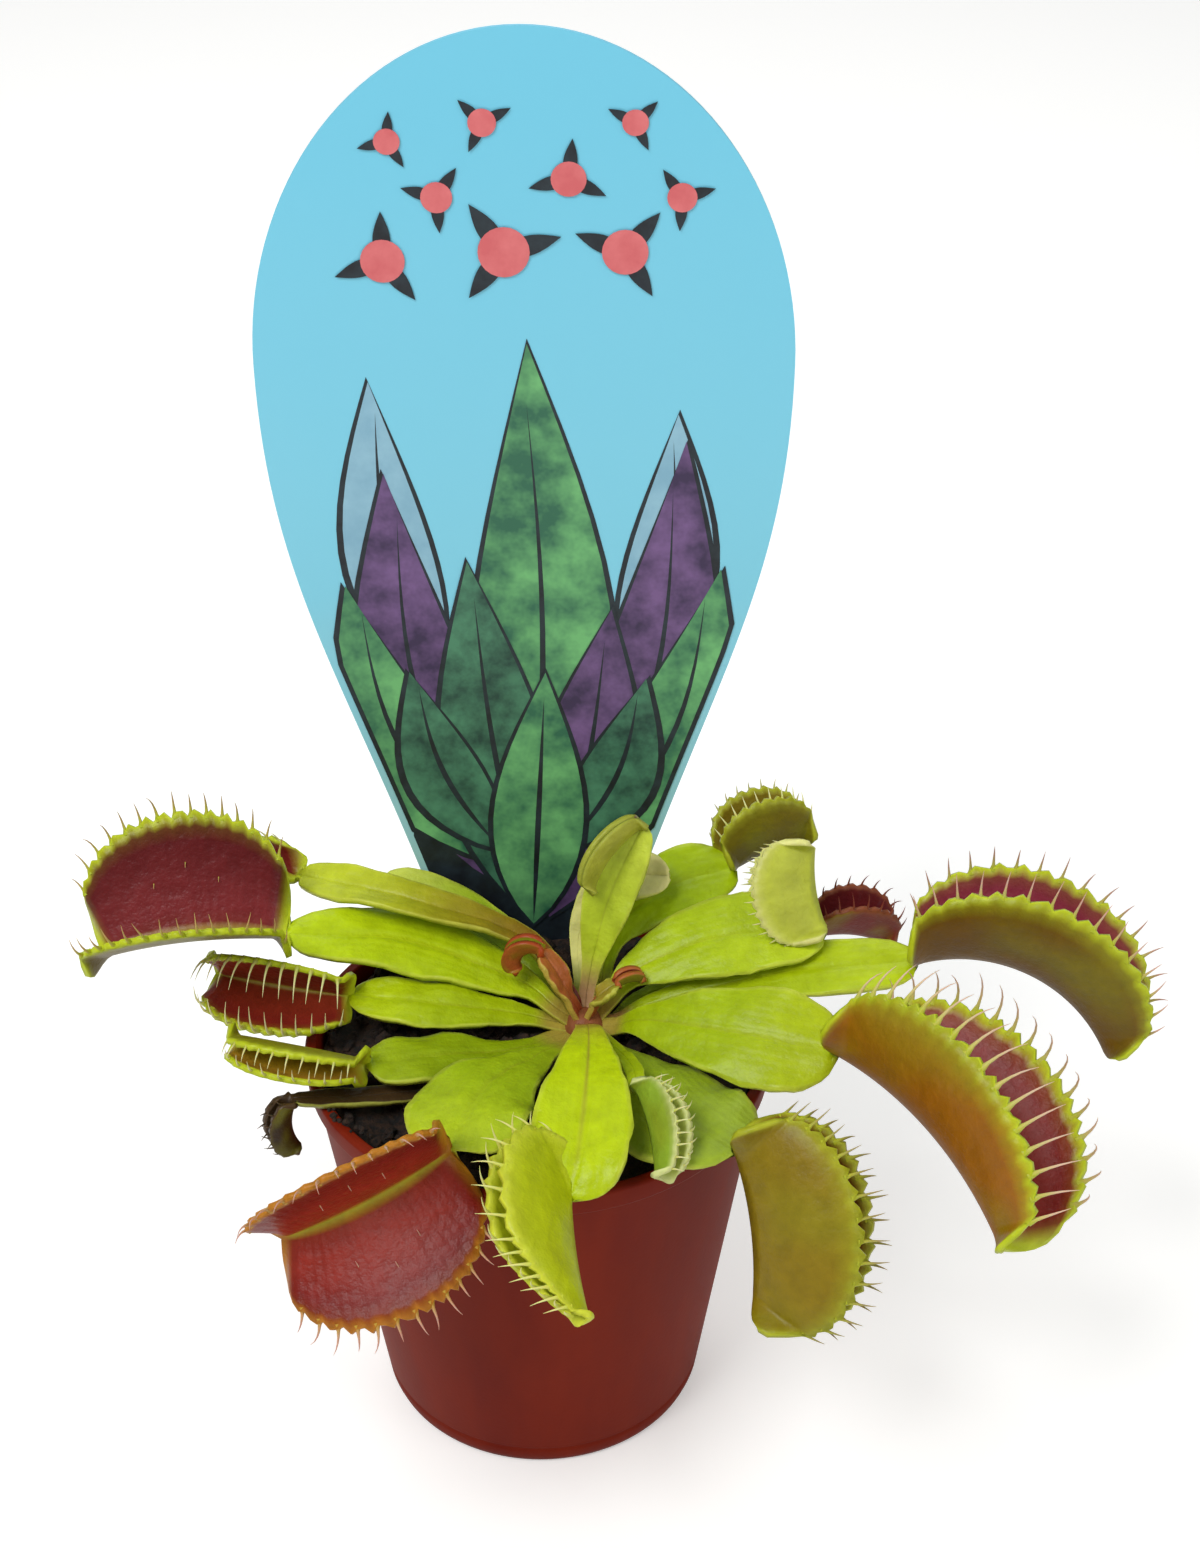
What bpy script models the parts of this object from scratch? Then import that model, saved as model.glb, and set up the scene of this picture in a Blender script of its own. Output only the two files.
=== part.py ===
"""A Venus flytrap in a small round plastic pot, with a plant label pushed into the soil.

The origin is the middle of the pot's flat underside, +Z is up, and the label's printed face looks
towards -Y. Lengths are written in millimetres and scaled to metres when a mesh is made.
"""

from math import atan2, cos, hypot, pi, radians, sin, sqrt

import bmesh
import bpy
from mathutils import Matrix, Quaternion, Vector

MM = 0.001
GAP = 0.3  # running clearance between any two neighbouring solids

# Driving dimensions
POT_TOP_RADIUS = 27.5
POT_BASE_RADIUS = 19.7
POT_HEIGHT = 51.0
POT_WALL = 0.9
LIP_HEIGHT = 3.0
LIP_STEP = 0.5
DRAIN_HOLES = 6
DRAIN_HOLE_RADIUS = 2.2
DRAIN_RING_RADIUS = 12.5

SOIL_LEVEL = 49.0
SOIL_BUMP = 0.5
SOIL_DISH = 1.3  # how far the peat drops round the crown

CROWN = Vector((5.5, 3.0, 50.0))
CROWN_RADIUS = 3.7
CROWN_SEAT = CROWN_RADIUS + 1.5 * GAP

LABEL_HALF_WIDTH = 29.7
LABEL_CAP_HEIGHT = 37.0
LABEL_TAIL_LENGTH = 76.0
LABEL_NECK_HALF_WIDTH = 11.0
LABEL_STAKE_LENGTH = 22.0
LABEL_THICKNESS = 0.6
LABEL_LEAN = radians(2.0)
LABEL_FOOT = Vector((-1.0, 22.0, 50.0))  # where the label's front face enters the soil

LEAF_THICKNESS = 0.7
STALK_HALF_WIDTH = 0.6
BLADE_ROWS = 8
TOOTH_SPREAD = 0.22  # share of the tooth pitch that a tooth's foot takes

UP = Vector((0, 0, 1))

# One entry for each leaf. "seat" is where it leaves the crown: azimuth and elevation in degrees.
# "route" is what its midrib passes through, in millimetres, and ends at the trap's hinge.
# "width" is the blade's widest, "peak" the share of the length where that is, "keel" how far the
# edges lift, and "face" the way the upper side looks.
# "trap": "aim" is the heading of the hinge as azimuth and pitch, "roll" turns the mouth about it,
# "long" is the hinge, "deep" a lobe from hinge to margin, "gape" the angle between the lobes,
# "belly" their bulge, "arch" the bend of the hinge, "fan" the spread of the near and far lobe
# ends, and "teeth" how many each margin has and "reach" how long they are.
LEAVES = {
    "leaf_left": dict(
        seat=(168, 34), route=[(-3, 6.6, 54.6), (-16.5, 9, 58.6), (-29.6, 6.6, 61.2)],
        width=9, peak=0.62, keel=0.12, face=(0, -0.25, 0.97),
        trap=dict(aim=(188, 12), roll=-10, long=22, deep=14.6, gape=84, belly=14, arch=32,
                  fan=(6, 14), teeth=10, reach=3.4)),
    "leaf_left_back": dict(
        seat=(134, 52), route=[(-1.5, 9.8, 58), (-14.3, 11.4, 62.4), (-29, 17, 62.2)],
        width=5.5, peak=0.85, keel=0.3, face=(0, -0.2, 0.98),
        trap=dict(aim=(160, -30), roll=0, long=12, deep=7, gape=45, belly=30, arch=40,
                  fan=(10, 12), teeth=6, reach=2.2)),
    "leaf_left_low": dict(
        seat=(178, 12), route=[(-3.5, 2.8, 52.5), (-12.6, 2.2, 54.3), (-22.2, 4.2, 54)],
        width=6.6, peak=0.7, keel=0.1, face=(0, -0.25, 0.97),
        trap=dict(aim=(176, 6), roll=-64, long=17, deep=8.2, gape=62, belly=30, arch=20,
                  fan=(10, 14), teeth=8, reach=4.2, lean=0.9)),
    "leaf_left_front": dict(
        seat=(209, 3), route=[(-3, -2.8, 51.3), (-11.2, -5.6, 52.9), (-19.4, -8.2, 53.9)],
        width=8.4, peak=0.72, keel=0.04,
        trap=dict(aim=(174, 6), roll=-66, long=16, deep=6.6, gape=26, belly=50, arch=14,
                  fan=(10, 12), teeth=7, reach=2.2)),
    "leaf_front_left": dict(
        seat=(242, 6), route=[(-0.6, -7, 53.6), (-6, -15, 55.8), (-9, -24.6, 55.8)],
        width=14, peak=0.78, keel=0.04, face=(-0.1, -0.1, 1),
        trap=dict(aim=(214, -18), roll=-72, long=21, deep=13.4, gape=98, belly=8, arch=34,
                  fan=(8, 20), teeth=9, reach=3.2)),
    "leaf_front": dict(
        seat=(270, 42), route=[(6, -6.5, 57), (5.8, -16.5, 58.4), (5, -25.6, 56.6), (4, -30, 53.6)],
        width=10.8, peak=0.66, keel=0.12,
        trap=dict(aim=(272, -14), roll=52, long=14.5, deep=9.6, gape=14, belly=44, arch=16,
                  fan=(80, 8), skew=0.7, teeth=9, reach=3.4)),
    "leaf_front_right": dict(
        seat=(310, 2), route=[(11, -6, 51.8), (16, -15.6, 53.6), (22.3, -22.8, 53.8)],
        width=15.5, peak=0.68, keel=0.02,
        trap=dict(aim=(298, -48), roll=-50, long=17, deep=13.4, gape=22, belly=58, arch=24,
                  fan=(34, 34), teeth=9, reach=3.6)),
    "leaf_right": dict(
        seat=(338, 20), route=[(13, -1.5, 54.8), (23.4, -6.8, 57.4), (34.2, -10.4, 57.4)],
        width=12.5, peak=0.74, keel=0.08, face=(0, -0.5, 0.87),
        trap=dict(aim=(317, 0), roll=-33, long=30, deep=15.6, gape=68, belly=64, arch=40,
                  fan=(10, 12), teeth=11, reach=6)),
    "leaf_far_right": dict(
        seat=(2, 12), route=[(15, 4, 53.4), (29, 4.6, 57), (44.6, 5, 58.4)],
        width=7.5, peak=0.84, keel=0.16, face=(0, -0.3, 0.95),
        trap=dict(aim=(357, 22), roll=-20, long=27, deep=12.6, gape=62, belly=62, arch=86,
                  fan=(10, 10), teeth=10, reach=3.4)),
    "leaf_right_back": dict(
        seat=(26, 46), route=[(12, 6.2, 56.6), (22, 8, 60), (34, 8.4, 60.6)],
        width=10.5, peak=0.68, keel=0.1, face=(0, -0.4, 0.92),
        trap=dict(aim=(128, 50), roll=-121, long=10, deep=8, gape=40, belly=30, arch=30,
                  fan=(16, 16), teeth=8, reach=1.2)),
    "leaf_back": dict(
        seat=(60, 34), route=[(9, 11.4, 58), (16.5, 16.4, 61.6), (23.6, 18.6, 62.4)],
        width=9, peak=0.7, keel=0.1, face=(0, -0.4, 0.92),
        trap=dict(aim=(24, 24), roll=-22, long=9.5, deep=8, gape=44, belly=50, arch=30,
                  fan=(16, 16), teeth=7, reach=3)),
    "leaf_back_low": dict(
        seat=(20, 0), route=[(13, 7.2, 51.4), (24, 13, 53), (34, 16.6, 53.6)],
        width=4.5, peak=0.7, keel=0.1,
        trap=dict(aim=(12, 6), roll=0, long=9, deep=6, gape=50, belly=20, arch=40,
                  fan=(14, 14), teeth=5, reach=2)),
    "leaf_centre": dict(
        seat=(84, 54), route=[(6.8, 7, 59), (8.6, 9, 65.6), (12.3, 11.4, 73.6)],
        width=6, peak=0.66, keel=0.3, foot=1, face=(-0.2, -0.9, 0.4),
        trap=dict(aim=(214, -12), roll=0, long=10, deep=3.2, gape=30, belly=60, arch=60,
                  fan=(6, 6), teeth=0, reach=0)),
    "leaf_back_left": dict(
        seat=(126, 12), route=[(-1.5, 12, 54.4), (-10, 16.4, 57.6), (-19.5, 19.4, 59.6)],
        width=6.5, peak=0.8, keel=0.12, face=(0, -0.4, 0.92)),
    "leaf_small_front": dict(
        seat=(296, 28), route=[(9.4, -5.5, 53.4), (11, -11, 55.6), (11.4, -16.6, 57.4)],
        width=2.2, peak=0.6, keel=0.1, foot=0.7,
        trap=dict(aim=(292, -14), roll=-44, long=11, deep=4.6, gape=34, belly=46, arch=26,
                  fan=(12, 12), teeth=7, reach=1.8)),
    "leaf_young_hook": dict(
        seat=(180, 66), route=[(3, 3.2, 55.8), (1.8, 4, 58), (0.4, 4.8, 59.8)],
        width=3.6, peak=0.6, keel=0.3,
        trap=dict(aim=(170, 30), roll=0, long=5, deep=2.2, gape=40, belly=50, arch=150,
                  fan=(6, 6), teeth=0, reach=0)),
    "leaf_young_bud": dict(
        seat=(350, 70), route=[(7.4, 2.6, 54.9), (8.4, 2.9, 55.8), (9.4, 3.2, 56.4)],
        width=3, peak=0.6, keel=0.4,
        trap=dict(aim=(20, 30), roll=0, long=3, deep=1.6, gape=40, belly=50, arch=60,
                  fan=(6, 6), teeth=0, reach=0)),
    "leaf_small_back_left": dict(
        seat=(104, -4), route=[(3, 10, 50.8), (-1.4, 14.6, 51.8), (-4.6, 17.4, 53)],
        width=3, peak=0.6, keel=0.1, foot=0.7,
        trap=dict(aim=(150, 16), roll=0, long=4, deep=2.4, gape=44, belly=30, arch=40,
                  fan=(10, 10), teeth=4, reach=1)),
    "leaf_narrow_back": dict(
        seat=(98, 26), route=[(5, 12.2, 57.8), (9.4, 14.8, 63.2), (15.6, 13.4, 65)],
        width=6, peak=0.72, keel=0.42, foot=0.7, face=(-0.2, -0.7, 0.6)),
    "leaf_dead": dict(
        seat=(226, -14), route=[(-4, -5.4, 49.9), (-16, -10, 51), (-27.4, -12.4, 52.1)],
        width=3, peak=0.7, keel=0.1, foot=0.6,
        trap=dict(aim=(205, -60), roll=0, long=7, deep=3, gape=40, belly=60, arch=60,
                  fan=(10, 10), teeth=4, reach=1.2)),
}


def catmull(points, share):
    """The point at this share of the way along a smooth curve through the points."""
    spans = len(points) - 1
    along = min(max(share, 0.0), 1.0) * spans
    span = min(int(along), spans - 1)
    t = along - span
    before = points[span - 1] if span else 2 * points[0] - points[1]
    after = points[span + 2] if span + 2 <= spans else 2 * points[-1] - points[-2]
    a, b = points[span], points[span + 1]
    return 0.5 * (
        2 * a
        + (b - before) * t
        + (2 * before - 5 * a + 4 * b - after) * t**2
        + (3 * a - before - 3 * b + after) * t**3
    )


def smooth_step(value):
    value = min(max(value, 0.0), 1.0)
    return value * value * (3 - 2 * value)


def heading(azimuth, pitch):
    azimuth, pitch = radians(azimuth), radians(pitch)
    return Vector((cos(azimuth) * cos(pitch), sin(azimuth) * cos(pitch), sin(pitch)))


def blade_half_width(share, plan):
    """Half the width of the leaf's blade: narrow at the crown, broad, then rounded in to the stalk."""
    peak, widest = plan["peak"], plan["width"] / 2
    foot = plan.get("foot", 1.1)
    if share <= peak:
        return foot + (widest - foot) * smooth_step(share / peak) ** 1.6
    fade = (share - peak) / (1 - peak)
    return STALK_HALF_WIDTH + (widest - STALK_HALF_WIDTH) * sqrt(max(0.0, 1 - fade**2.6))


def blade_rows(plan):
    """One row of five points for each step along the blade, from the crown to the hinge."""
    seat = CROWN + CROWN_SEAT * heading(*plan["seat"])
    points = [seat] + [Vector(p) for p in plan["route"]]
    face = Vector(plan.get("face", UP)).normalized()
    rows = []
    for row in range(BLADE_ROWS + 1):
        share = 1 - (1 - row / BLADE_ROWS) ** 1.25
        middle = catmull(points, share)
        along = (catmull(points, share + 0.01) - catmull(points, share - 0.01)).normalized()
        side = along.cross(face).normalized()
        lift = side.cross(along)
        half = blade_half_width(share, plan)
        keel = plan["keel"]
        rows.append([
            middle + side * half * t + lift * half * (keel * abs(t) - 0.12 * t * t)
            for t in (-1, -0.5, 0, 0.5, 1)
        ])
    return rows


def trap_frame(trap):
    """The hinge's direction, the way the mouth looks, and the side."""
    along = heading(*trap["aim"])
    side = along.cross(UP).normalized()
    mouth = side.cross(along)
    turn = Quaternion(along, radians(trap["roll"]))
    return along, turn @ mouth, turn @ side


def trap_point(base, trap, share, across):
    """A point on a lobe: share runs along the hinge, across from one margin (-1) to the other (1)."""
    along, mouth, side = trap_frame(trap)
    steps = 12
    arch = radians(trap["arch"])
    hinge = base.copy()
    for step in range(steps):
        bend = arch * share * (step + 0.5) / steps
        hinge += (cos(bend) * along - sin(bend) * mouth) * trap["long"] * share / steps
    bend = arch * share
    onward = cos(bend) * along - sin(bend) * mouth
    out = sin(bend) * along + cos(bend) * mouth
    end = abs(2 * share - 1)
    deep = trap["deep"] * (1 + trap.get("skew", 0) * (1 - 2 * share))
    deep = STALK_HALF_WIDTH + (deep - STALK_HALF_WIDTH) * sqrt(max(0.0, 1 - end**2.1))
    shut = smooth_step(share / 0.1) * smooth_step((1 - share) / 0.08)
    fan = radians(trap["fan"][share > 0.5]) * (2 * share - 1)
    point = hinge
    lobe_steps = 6
    for step in range(lobe_steps):
        reach = abs(across) * (step + 0.5) / lobe_steps
        lean = radians(trap["gape"] / 2 + trap["belly"] * (0.5 - reach))
        lean = lean * shut + radians(78) * (1 - shut)
        way = cos(lean) * out + sin(lean) * side * (1 if across > 0 else -1)
        way = cos(fan) * way + sin(fan) * onward
        point = point + way * deep * abs(across) / lobe_steps
    return point


def trap_shares(trap):
    """Where the rows of the trap lie: two for each tooth, so that every second margin edge is a foot."""
    teeth = trap["teeth"]
    if not teeth:
        return [0.035, 0.15, 0.3, 0.5, 0.7, 0.85, 0.965]
    shares = []
    for tooth in range(teeth):
        middle = 0.07 + 0.86 * (tooth + 0.5) / teeth
        spread = TOOTH_SPREAD * 0.86 / teeth
        shares += [middle - spread, middle + spread]
    return [0.035] + shares + [0.965]


def tooth_tip(base, trap, share, across):
    """The free end of a tooth: it goes on past the margin, and the two rows of teeth lean together."""
    margin = trap_point(base, trap, share, across)
    inside = trap_point(base, trap, share, across * 0.8)
    other = trap_point(base, trap, share, -across)
    way = (margin - inside).normalized()
    inward = (other - margin).normalized()
    return margin + (way + trap.get("lean", 0.35) * inward).normalized() * trap["reach"]


def grid_object(name, rows):
    """A sheet through rows of points, made from Blender's grid."""
    bm = bmesh.new()
    deep, wide = len(rows) - 1, len(rows[0]) - 1
    bmesh.ops.create_grid(bm, x_segments=deep, y_segments=wide, size=1)
    places = {}
    for vert in bm.verts:
        row = round((vert.co.x + 1) / 2 * deep)
        column = round((vert.co.y + 1) / 2 * wide)
        vert.co = rows[row][column] * MM
        places[row, column] = vert
    return bm, places


def add_teeth(bm, places, base, trap, first_row):
    """Pulls every second margin edge of the trap out to a point."""
    shares = trap_shares(trap)
    for column, across in ((0, -1), (4, 1)):
        for tooth in range(trap["teeth"]):
            low = 1 + 2 * tooth
            middle = (shares[low] + shares[low + 1]) / 2
            ends = places[first_row + low, column], places[first_row + low + 1, column]
            edge = bm.edges.get(ends)
            new = bmesh.ops.extrude_edge_only(bm, edges=[edge])["geom"]
            tips = [item for item in new if isinstance(item, bmesh.types.BMVert)]
            place = tooth_tip(base, trap, middle, across) * MM
            bmesh.ops.pointmerge(bm, verts=tips, merge_co=place)


def leaf(name, plan, finish):
    """A leaf as one sheet: the flat blade, its stalk and the two-lobed trap, given its thickness."""
    rows = blade_rows(plan)
    trap = plan.get("trap")
    base = Vector(plan["route"][-1])
    first_row = len(rows)
    if trap:
        for share in trap_shares(trap):
            rows.append([trap_point(base, trap, share, t) for t in (-1, -0.5, 0, 0.5, 1)])
    bm, places = grid_object(name, rows)
    if trap:
        add_teeth(bm, places, base, trap, first_row)
    bmesh.ops.recalc_face_normals(bm, faces=bm.faces)
    mesh = bpy.data.meshes.new(name)
    bm.to_mesh(mesh)
    bm.free()
    obj = show(name, mesh, finish)
    skin = obj.modifiers.new("thickness", "SOLIDIFY")
    skin.thickness = plan.get("thick", LEAF_THICKNESS) * MM
    skin.offset = 0
    return obj


def finish(name, colour, roughness):
    material = bpy.data.materials.new(name)
    material.use_nodes = True
    shader = material.node_tree.nodes["Principled BSDF"]
    shader.inputs["Base Color"].default_value = (*colour, 1)
    shader.inputs["Roughness"].default_value = roughness
    return material


def show(name, mesh, material):
    obj = bpy.data.objects.new(name, mesh)
    mesh.materials.append(material)
    parts.objects.link(obj)
    return obj


def turned(name, profile, steps):
    """A closed profile of (radius, height), top to bottom down its outer side, turned about Z."""
    bm = bmesh.new()
    verts = [bm.verts.new((radius * MM, 0, height * MM)) for radius, height in profile]
    edges = [bm.edges.new(pair) for pair in zip(verts, verts[1:])]
    bmesh.ops.spin(bm, geom=verts + edges, axis=(0, 0, 1), cent=(0, 0, 0), angle=2 * pi,
                   steps=steps, use_merge=True)
    bmesh.ops.remove_doubles(bm, verts=bm.verts, dist=0.001 * MM)
    bmesh.ops.recalc_face_normals(bm, faces=bm.faces)
    mesh = bpy.data.meshes.new(name)
    bm.to_mesh(mesh)
    bm.free()
    return mesh


def wall_radius(height):
    """The outside of the pot's tapered wall."""
    return POT_BASE_RADIUS + (POT_TOP_RADIUS - LIP_STEP - POT_BASE_RADIUS) * height / POT_HEIGHT


def pot(material):
    lip_foot = POT_HEIGHT - LIP_HEIGHT
    profile = [
        (0, POT_WALL),
        (wall_radius(POT_WALL) - POT_WALL, POT_WALL),
        (wall_radius(POT_HEIGHT) - POT_WALL, POT_HEIGHT - 0.3),
        (wall_radius(POT_HEIGHT) - POT_WALL + 0.3, POT_HEIGHT),
        (POT_TOP_RADIUS - 0.4, POT_HEIGHT),
        (POT_TOP_RADIUS, POT_HEIGHT - 0.4),
        (POT_TOP_RADIUS - 0.2, lip_foot + 0.3),
        (wall_radius(lip_foot), lip_foot),
        (wall_radius(1.2), 1.2),
        (wall_radius(0) - 0.8, 0),
        (0, 0),
    ]
    obj = show("pot", turned("pot", profile, 48), material)
    for hole in range(DRAIN_HOLES):
        angle = 2 * pi * hole / DRAIN_HOLES
        place = Vector((cos(angle), sin(angle), 0)) * DRAIN_RING_RADIUS
        cut(obj, rod_cutter(f"drain_{hole}", place, DRAIN_HOLE_RADIUS, 4 * POT_WALL))
    return obj


def rod_cutter(name, place, radius, height):
    bm = bmesh.new()
    bmesh.ops.create_cone(bm, cap_ends=True, segments=16, radius1=radius * MM,
                          radius2=radius * MM, depth=height * MM)
    bmesh.ops.translate(bm, verts=bm.verts, vec=place * MM)
    return cutter(name, bm)


def cutter(name, bm):
    mesh = bpy.data.meshes.new(name)
    bm.to_mesh(mesh)
    bm.free()
    obj = bpy.data.objects.new(name, mesh)
    obj.hide_render = True
    obj.display_type = "WIRE"
    cutters.objects.link(obj)
    return obj


def cut(obj, tool):
    modifier = obj.modifiers.new(tool.name, "BOOLEAN")
    modifier.operation = "DIFFERENCE"
    modifier.object = tool


def soil_height(x, y):
    """The peat's lumpy top, a little higher at the back where the label was pushed in."""
    lumps = sin(0.55 * x + 1.3) * cos(0.47 * y - 0.4) + 0.6 * sin(1.15 * x - 0.9 * y)
    dish = SOIL_DISH / (1 + (hypot(x - CROWN.x, y - CROWN.y) / 7) ** 4)
    return SOIL_LEVEL + SOIL_BUMP * lumps + 0.02 * y - dish


def soil(material):
    base = POT_WALL + GAP
    rim = wall_radius(SOIL_LEVEL) - POT_WALL - GAP
    foot = wall_radius(base) - POT_WALL - GAP
    rings = [(rim * share, SOIL_LEVEL) for share in (0, 0.2, 0.4, 0.6, 0.8, 1)]
    profile = rings + [(foot, base), (0, base)]
    mesh = turned("soil", profile, 28)
    for vert in mesh.vertices:
        x, y, z = vert.co / MM
        if z > SOIL_LEVEL - 1 and hypot(x, y) < rim * 0.97:
            vert.co.z = soil_height(x, y) * MM
    obj = show("soil", mesh, material)
    bm = bmesh.new()
    bmesh.ops.create_uvsphere(bm, u_segments=20, v_segments=12, radius=(CROWN_RADIUS + GAP) * MM)
    bmesh.ops.translate(bm, verts=bm.verts, vec=CROWN * MM)
    cut(obj, cutter("crown_socket", bm))
    cut(obj, label_slot())
    return obj


def crown(material):
    """The short underground stem that every leaf grows from."""
    bm = bmesh.new()
    bmesh.ops.create_uvsphere(bm, u_segments=20, v_segments=12, radius=CROWN_RADIUS * MM)
    bmesh.ops.translate(bm, verts=bm.verts, vec=CROWN * MM)
    mesh = bpy.data.meshes.new("crown")
    bm.to_mesh(mesh)
    bm.free()
    return show("crown", mesh, material)


def label_outline():
    """Half the label's edge, from the top of its round head down to the tip of the stake."""
    points = []
    for step in range(13):
        angle = pi / 2 * step / 12
        points.append((LABEL_HALF_WIDTH * sin(angle), LABEL_CAP_HEIGHT * cos(angle)))
    shoulder = Vector((LABEL_HALF_WIDTH, -0.36 * LABEL_TAIL_LENGTH))
    knee = Vector((0.72 * LABEL_HALF_WIDTH, -0.52 * LABEL_TAIL_LENGTH))
    neck = Vector((LABEL_NECK_HALF_WIDTH, -LABEL_TAIL_LENGTH))
    start = Vector((LABEL_HALF_WIDTH, 0))
    for step in range(1, 13):
        t = step / 12
        point = (
            (1 - t) ** 3 * start + 3 * (1 - t) ** 2 * t * shoulder
            + 3 * (1 - t) * t**2 * knee + t**3 * neck
        )
        points.append(tuple(point))
    tip = -LABEL_TAIL_LENGTH - LABEL_STAKE_LENGTH
    points += [(2.0, tip + 1.5), (0.8, tip)]
    return points


def label_matrix():
    """Stands the label's flat outline up in the soil, leaning back by its lean."""
    rise = Matrix.Translation(LABEL_FOOT * MM) @ Matrix.Rotation(-LABEL_LEAN, 4, "X")
    upright = Matrix.Rotation(pi / 2, 4, "X")
    neck = Matrix.Translation(Vector((0, LABEL_TAIL_LENGTH, 0)) * MM)
    return rise @ upright @ neck


def flat_plate(name, outline, thickness):
    """A flat outline, given on one side of its middle line, made a plate of this thickness."""
    curve = bpy.data.curves.new(name, "CURVE")
    curve.dimensions = "2D"
    curve.fill_mode = "BOTH"
    curve.extrude = thickness / 2 * MM
    right = [(x, y) for x, y in outline if x > 0]
    top = [(x, y) for x, y in outline if x <= 0]
    left = [(-x, y) for x, y in reversed(right)]
    loop = top + right + left
    spline = curve.splines.new("POLY")
    spline.points.add(len(loop) - 1)
    for point, (x, y) in zip(spline.points, loop):
        point.co = (x * MM, y * MM, 0, 1)
    spline.use_cyclic_u = True
    return curve


def as_mesh(obj):
    """A copy of a curve object's evaluated mesh, with its caps joined to its sides."""
    graph = bpy.context.evaluated_depsgraph_get()
    mesh = bpy.data.meshes.new_from_object(obj.evaluated_get(graph))
    bm = bmesh.new()
    bm.from_mesh(mesh)
    bmesh.ops.remove_doubles(bm, verts=bm.verts, dist=0.001 * MM)
    bmesh.ops.recalc_face_normals(bm, faces=bm.faces)
    bm.to_mesh(mesh)
    bm.free()
    return mesh


def plate_object(name, outline, thickness, matrix):
    """The plate as a mesh object standing at this matrix."""
    curve = flat_plate(name, outline, thickness)
    sketch = bpy.data.objects.new(name + "_sketch", curve)
    parts.objects.link(sketch)
    bpy.context.view_layer.update()
    mesh = as_mesh(sketch)
    bpy.data.objects.remove(sketch)
    mesh.name = name
    mesh.transform(matrix)
    return mesh


def label(material):
    mesh = plate_object("plant_label", label_outline(), LABEL_THICKNESS, label_matrix())
    return show("plant_label", mesh, material)


def label_slot():
    """The slit that the stake opens in the peat."""
    head = 6.0
    tip = -LABEL_TAIL_LENGTH - LABEL_STAKE_LENGTH
    wide = LABEL_NECK_HALF_WIDTH + 3.2
    outline = [(wide, -LABEL_TAIL_LENGTH + head), (LABEL_NECK_HALF_WIDTH + 0.8, -LABEL_TAIL_LENGTH),
               (2.6, tip + 0.8), (1.2, tip - 0.5)]
    mesh = plate_object("label_slot", outline, LABEL_THICKNESS + 2 * GAP, label_matrix())
    obj = bpy.data.objects.new("label_slot", mesh)
    obj.hide_render = True
    obj.display_type = "WIRE"
    cutters.objects.link(obj)
    return obj


def clear_scene():
    for obj in list(bpy.data.objects):
        bpy.data.objects.remove(obj)


def collection(name):
    made = bpy.data.collections.new(name)
    bpy.context.scene.collection.children.link(made)
    return made


def main():
    terracotta = finish("terracotta_plastic", (0.19, 0.035, 0.015), 0.38)
    peat = finish("peat", (0.012, 0.009, 0.007), 0.95)
    rind = finish("crown_tissue", (0.26, 0.09, 0.03), 0.6)
    card = finish("label_plastic", (0.2, 0.66, 0.86), 0.35)
    green = finish("leaf_green", (0.42, 0.55, 0.02), 0.5)
    pot(terracotta)
    soil(peat)
    crown(rind)
    label(card)
    for name, plan in LEAVES.items():
        leaf(name, plan, green)


clear_scene()
parts = collection("potted_venus_flytrap")
cutters = collection("cutters")
main()
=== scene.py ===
import random
from math import cos, hypot, pi, radians, sin, sqrt

import bmesh
import bpy
from mathutils import Matrix, Quaternion, Vector, noise


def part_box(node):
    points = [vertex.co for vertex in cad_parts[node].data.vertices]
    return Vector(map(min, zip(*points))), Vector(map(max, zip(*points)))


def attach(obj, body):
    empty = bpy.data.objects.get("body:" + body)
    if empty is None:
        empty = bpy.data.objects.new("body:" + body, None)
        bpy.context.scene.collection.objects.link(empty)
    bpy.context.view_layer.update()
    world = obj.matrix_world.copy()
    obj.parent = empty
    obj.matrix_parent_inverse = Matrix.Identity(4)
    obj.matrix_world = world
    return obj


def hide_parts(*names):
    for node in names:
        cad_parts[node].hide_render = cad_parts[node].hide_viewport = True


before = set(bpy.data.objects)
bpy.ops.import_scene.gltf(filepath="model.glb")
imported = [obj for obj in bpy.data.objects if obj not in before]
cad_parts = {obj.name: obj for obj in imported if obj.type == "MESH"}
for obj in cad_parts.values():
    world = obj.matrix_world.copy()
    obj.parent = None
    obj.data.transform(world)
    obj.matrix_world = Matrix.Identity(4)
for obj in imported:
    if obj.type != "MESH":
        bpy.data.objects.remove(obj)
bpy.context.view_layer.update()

mm = 0.001
up = Vector((0, 0, 1))


def linear(hexColour):
    # sRGB hex to linear RGBA
    parts = [int(hexColour[i:i + 2], 16) / 255 for i in (1, 3, 5)]
    return (*[c / 12.92 if c <= 0.04045 else ((c + 0.055) / 1.055) ** 2.4 for c in parts], 1)


def blendColour(a, b, share):
    return tuple(x + (y - x) * share for x, y in zip(a, b))


def newMaterial(name):
    material = bpy.data.materials.new(name)
    material.use_nodes = True
    return material, material.node_tree, material.node_tree.nodes["Principled BSDF"]


def add(tree, kind, inputs=None, **settings):
    # adds a node: settings are its properties, inputs its sockets' values or the sockets linked in
    node = tree.nodes.new(kind)
    for key, value in settings.items():
        setattr(node, key, value)
    for key, value in (inputs or {}).items():
        if isinstance(value, bpy.types.NodeSocket):
            tree.links.new(value, node.inputs[key])
        else:
            node.inputs[key].default_value = value
    return node


def smoothStep(value):
    value = min(max(value, 0.0), 1.0)
    return value * value * (3 - 2 * value)


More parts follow.
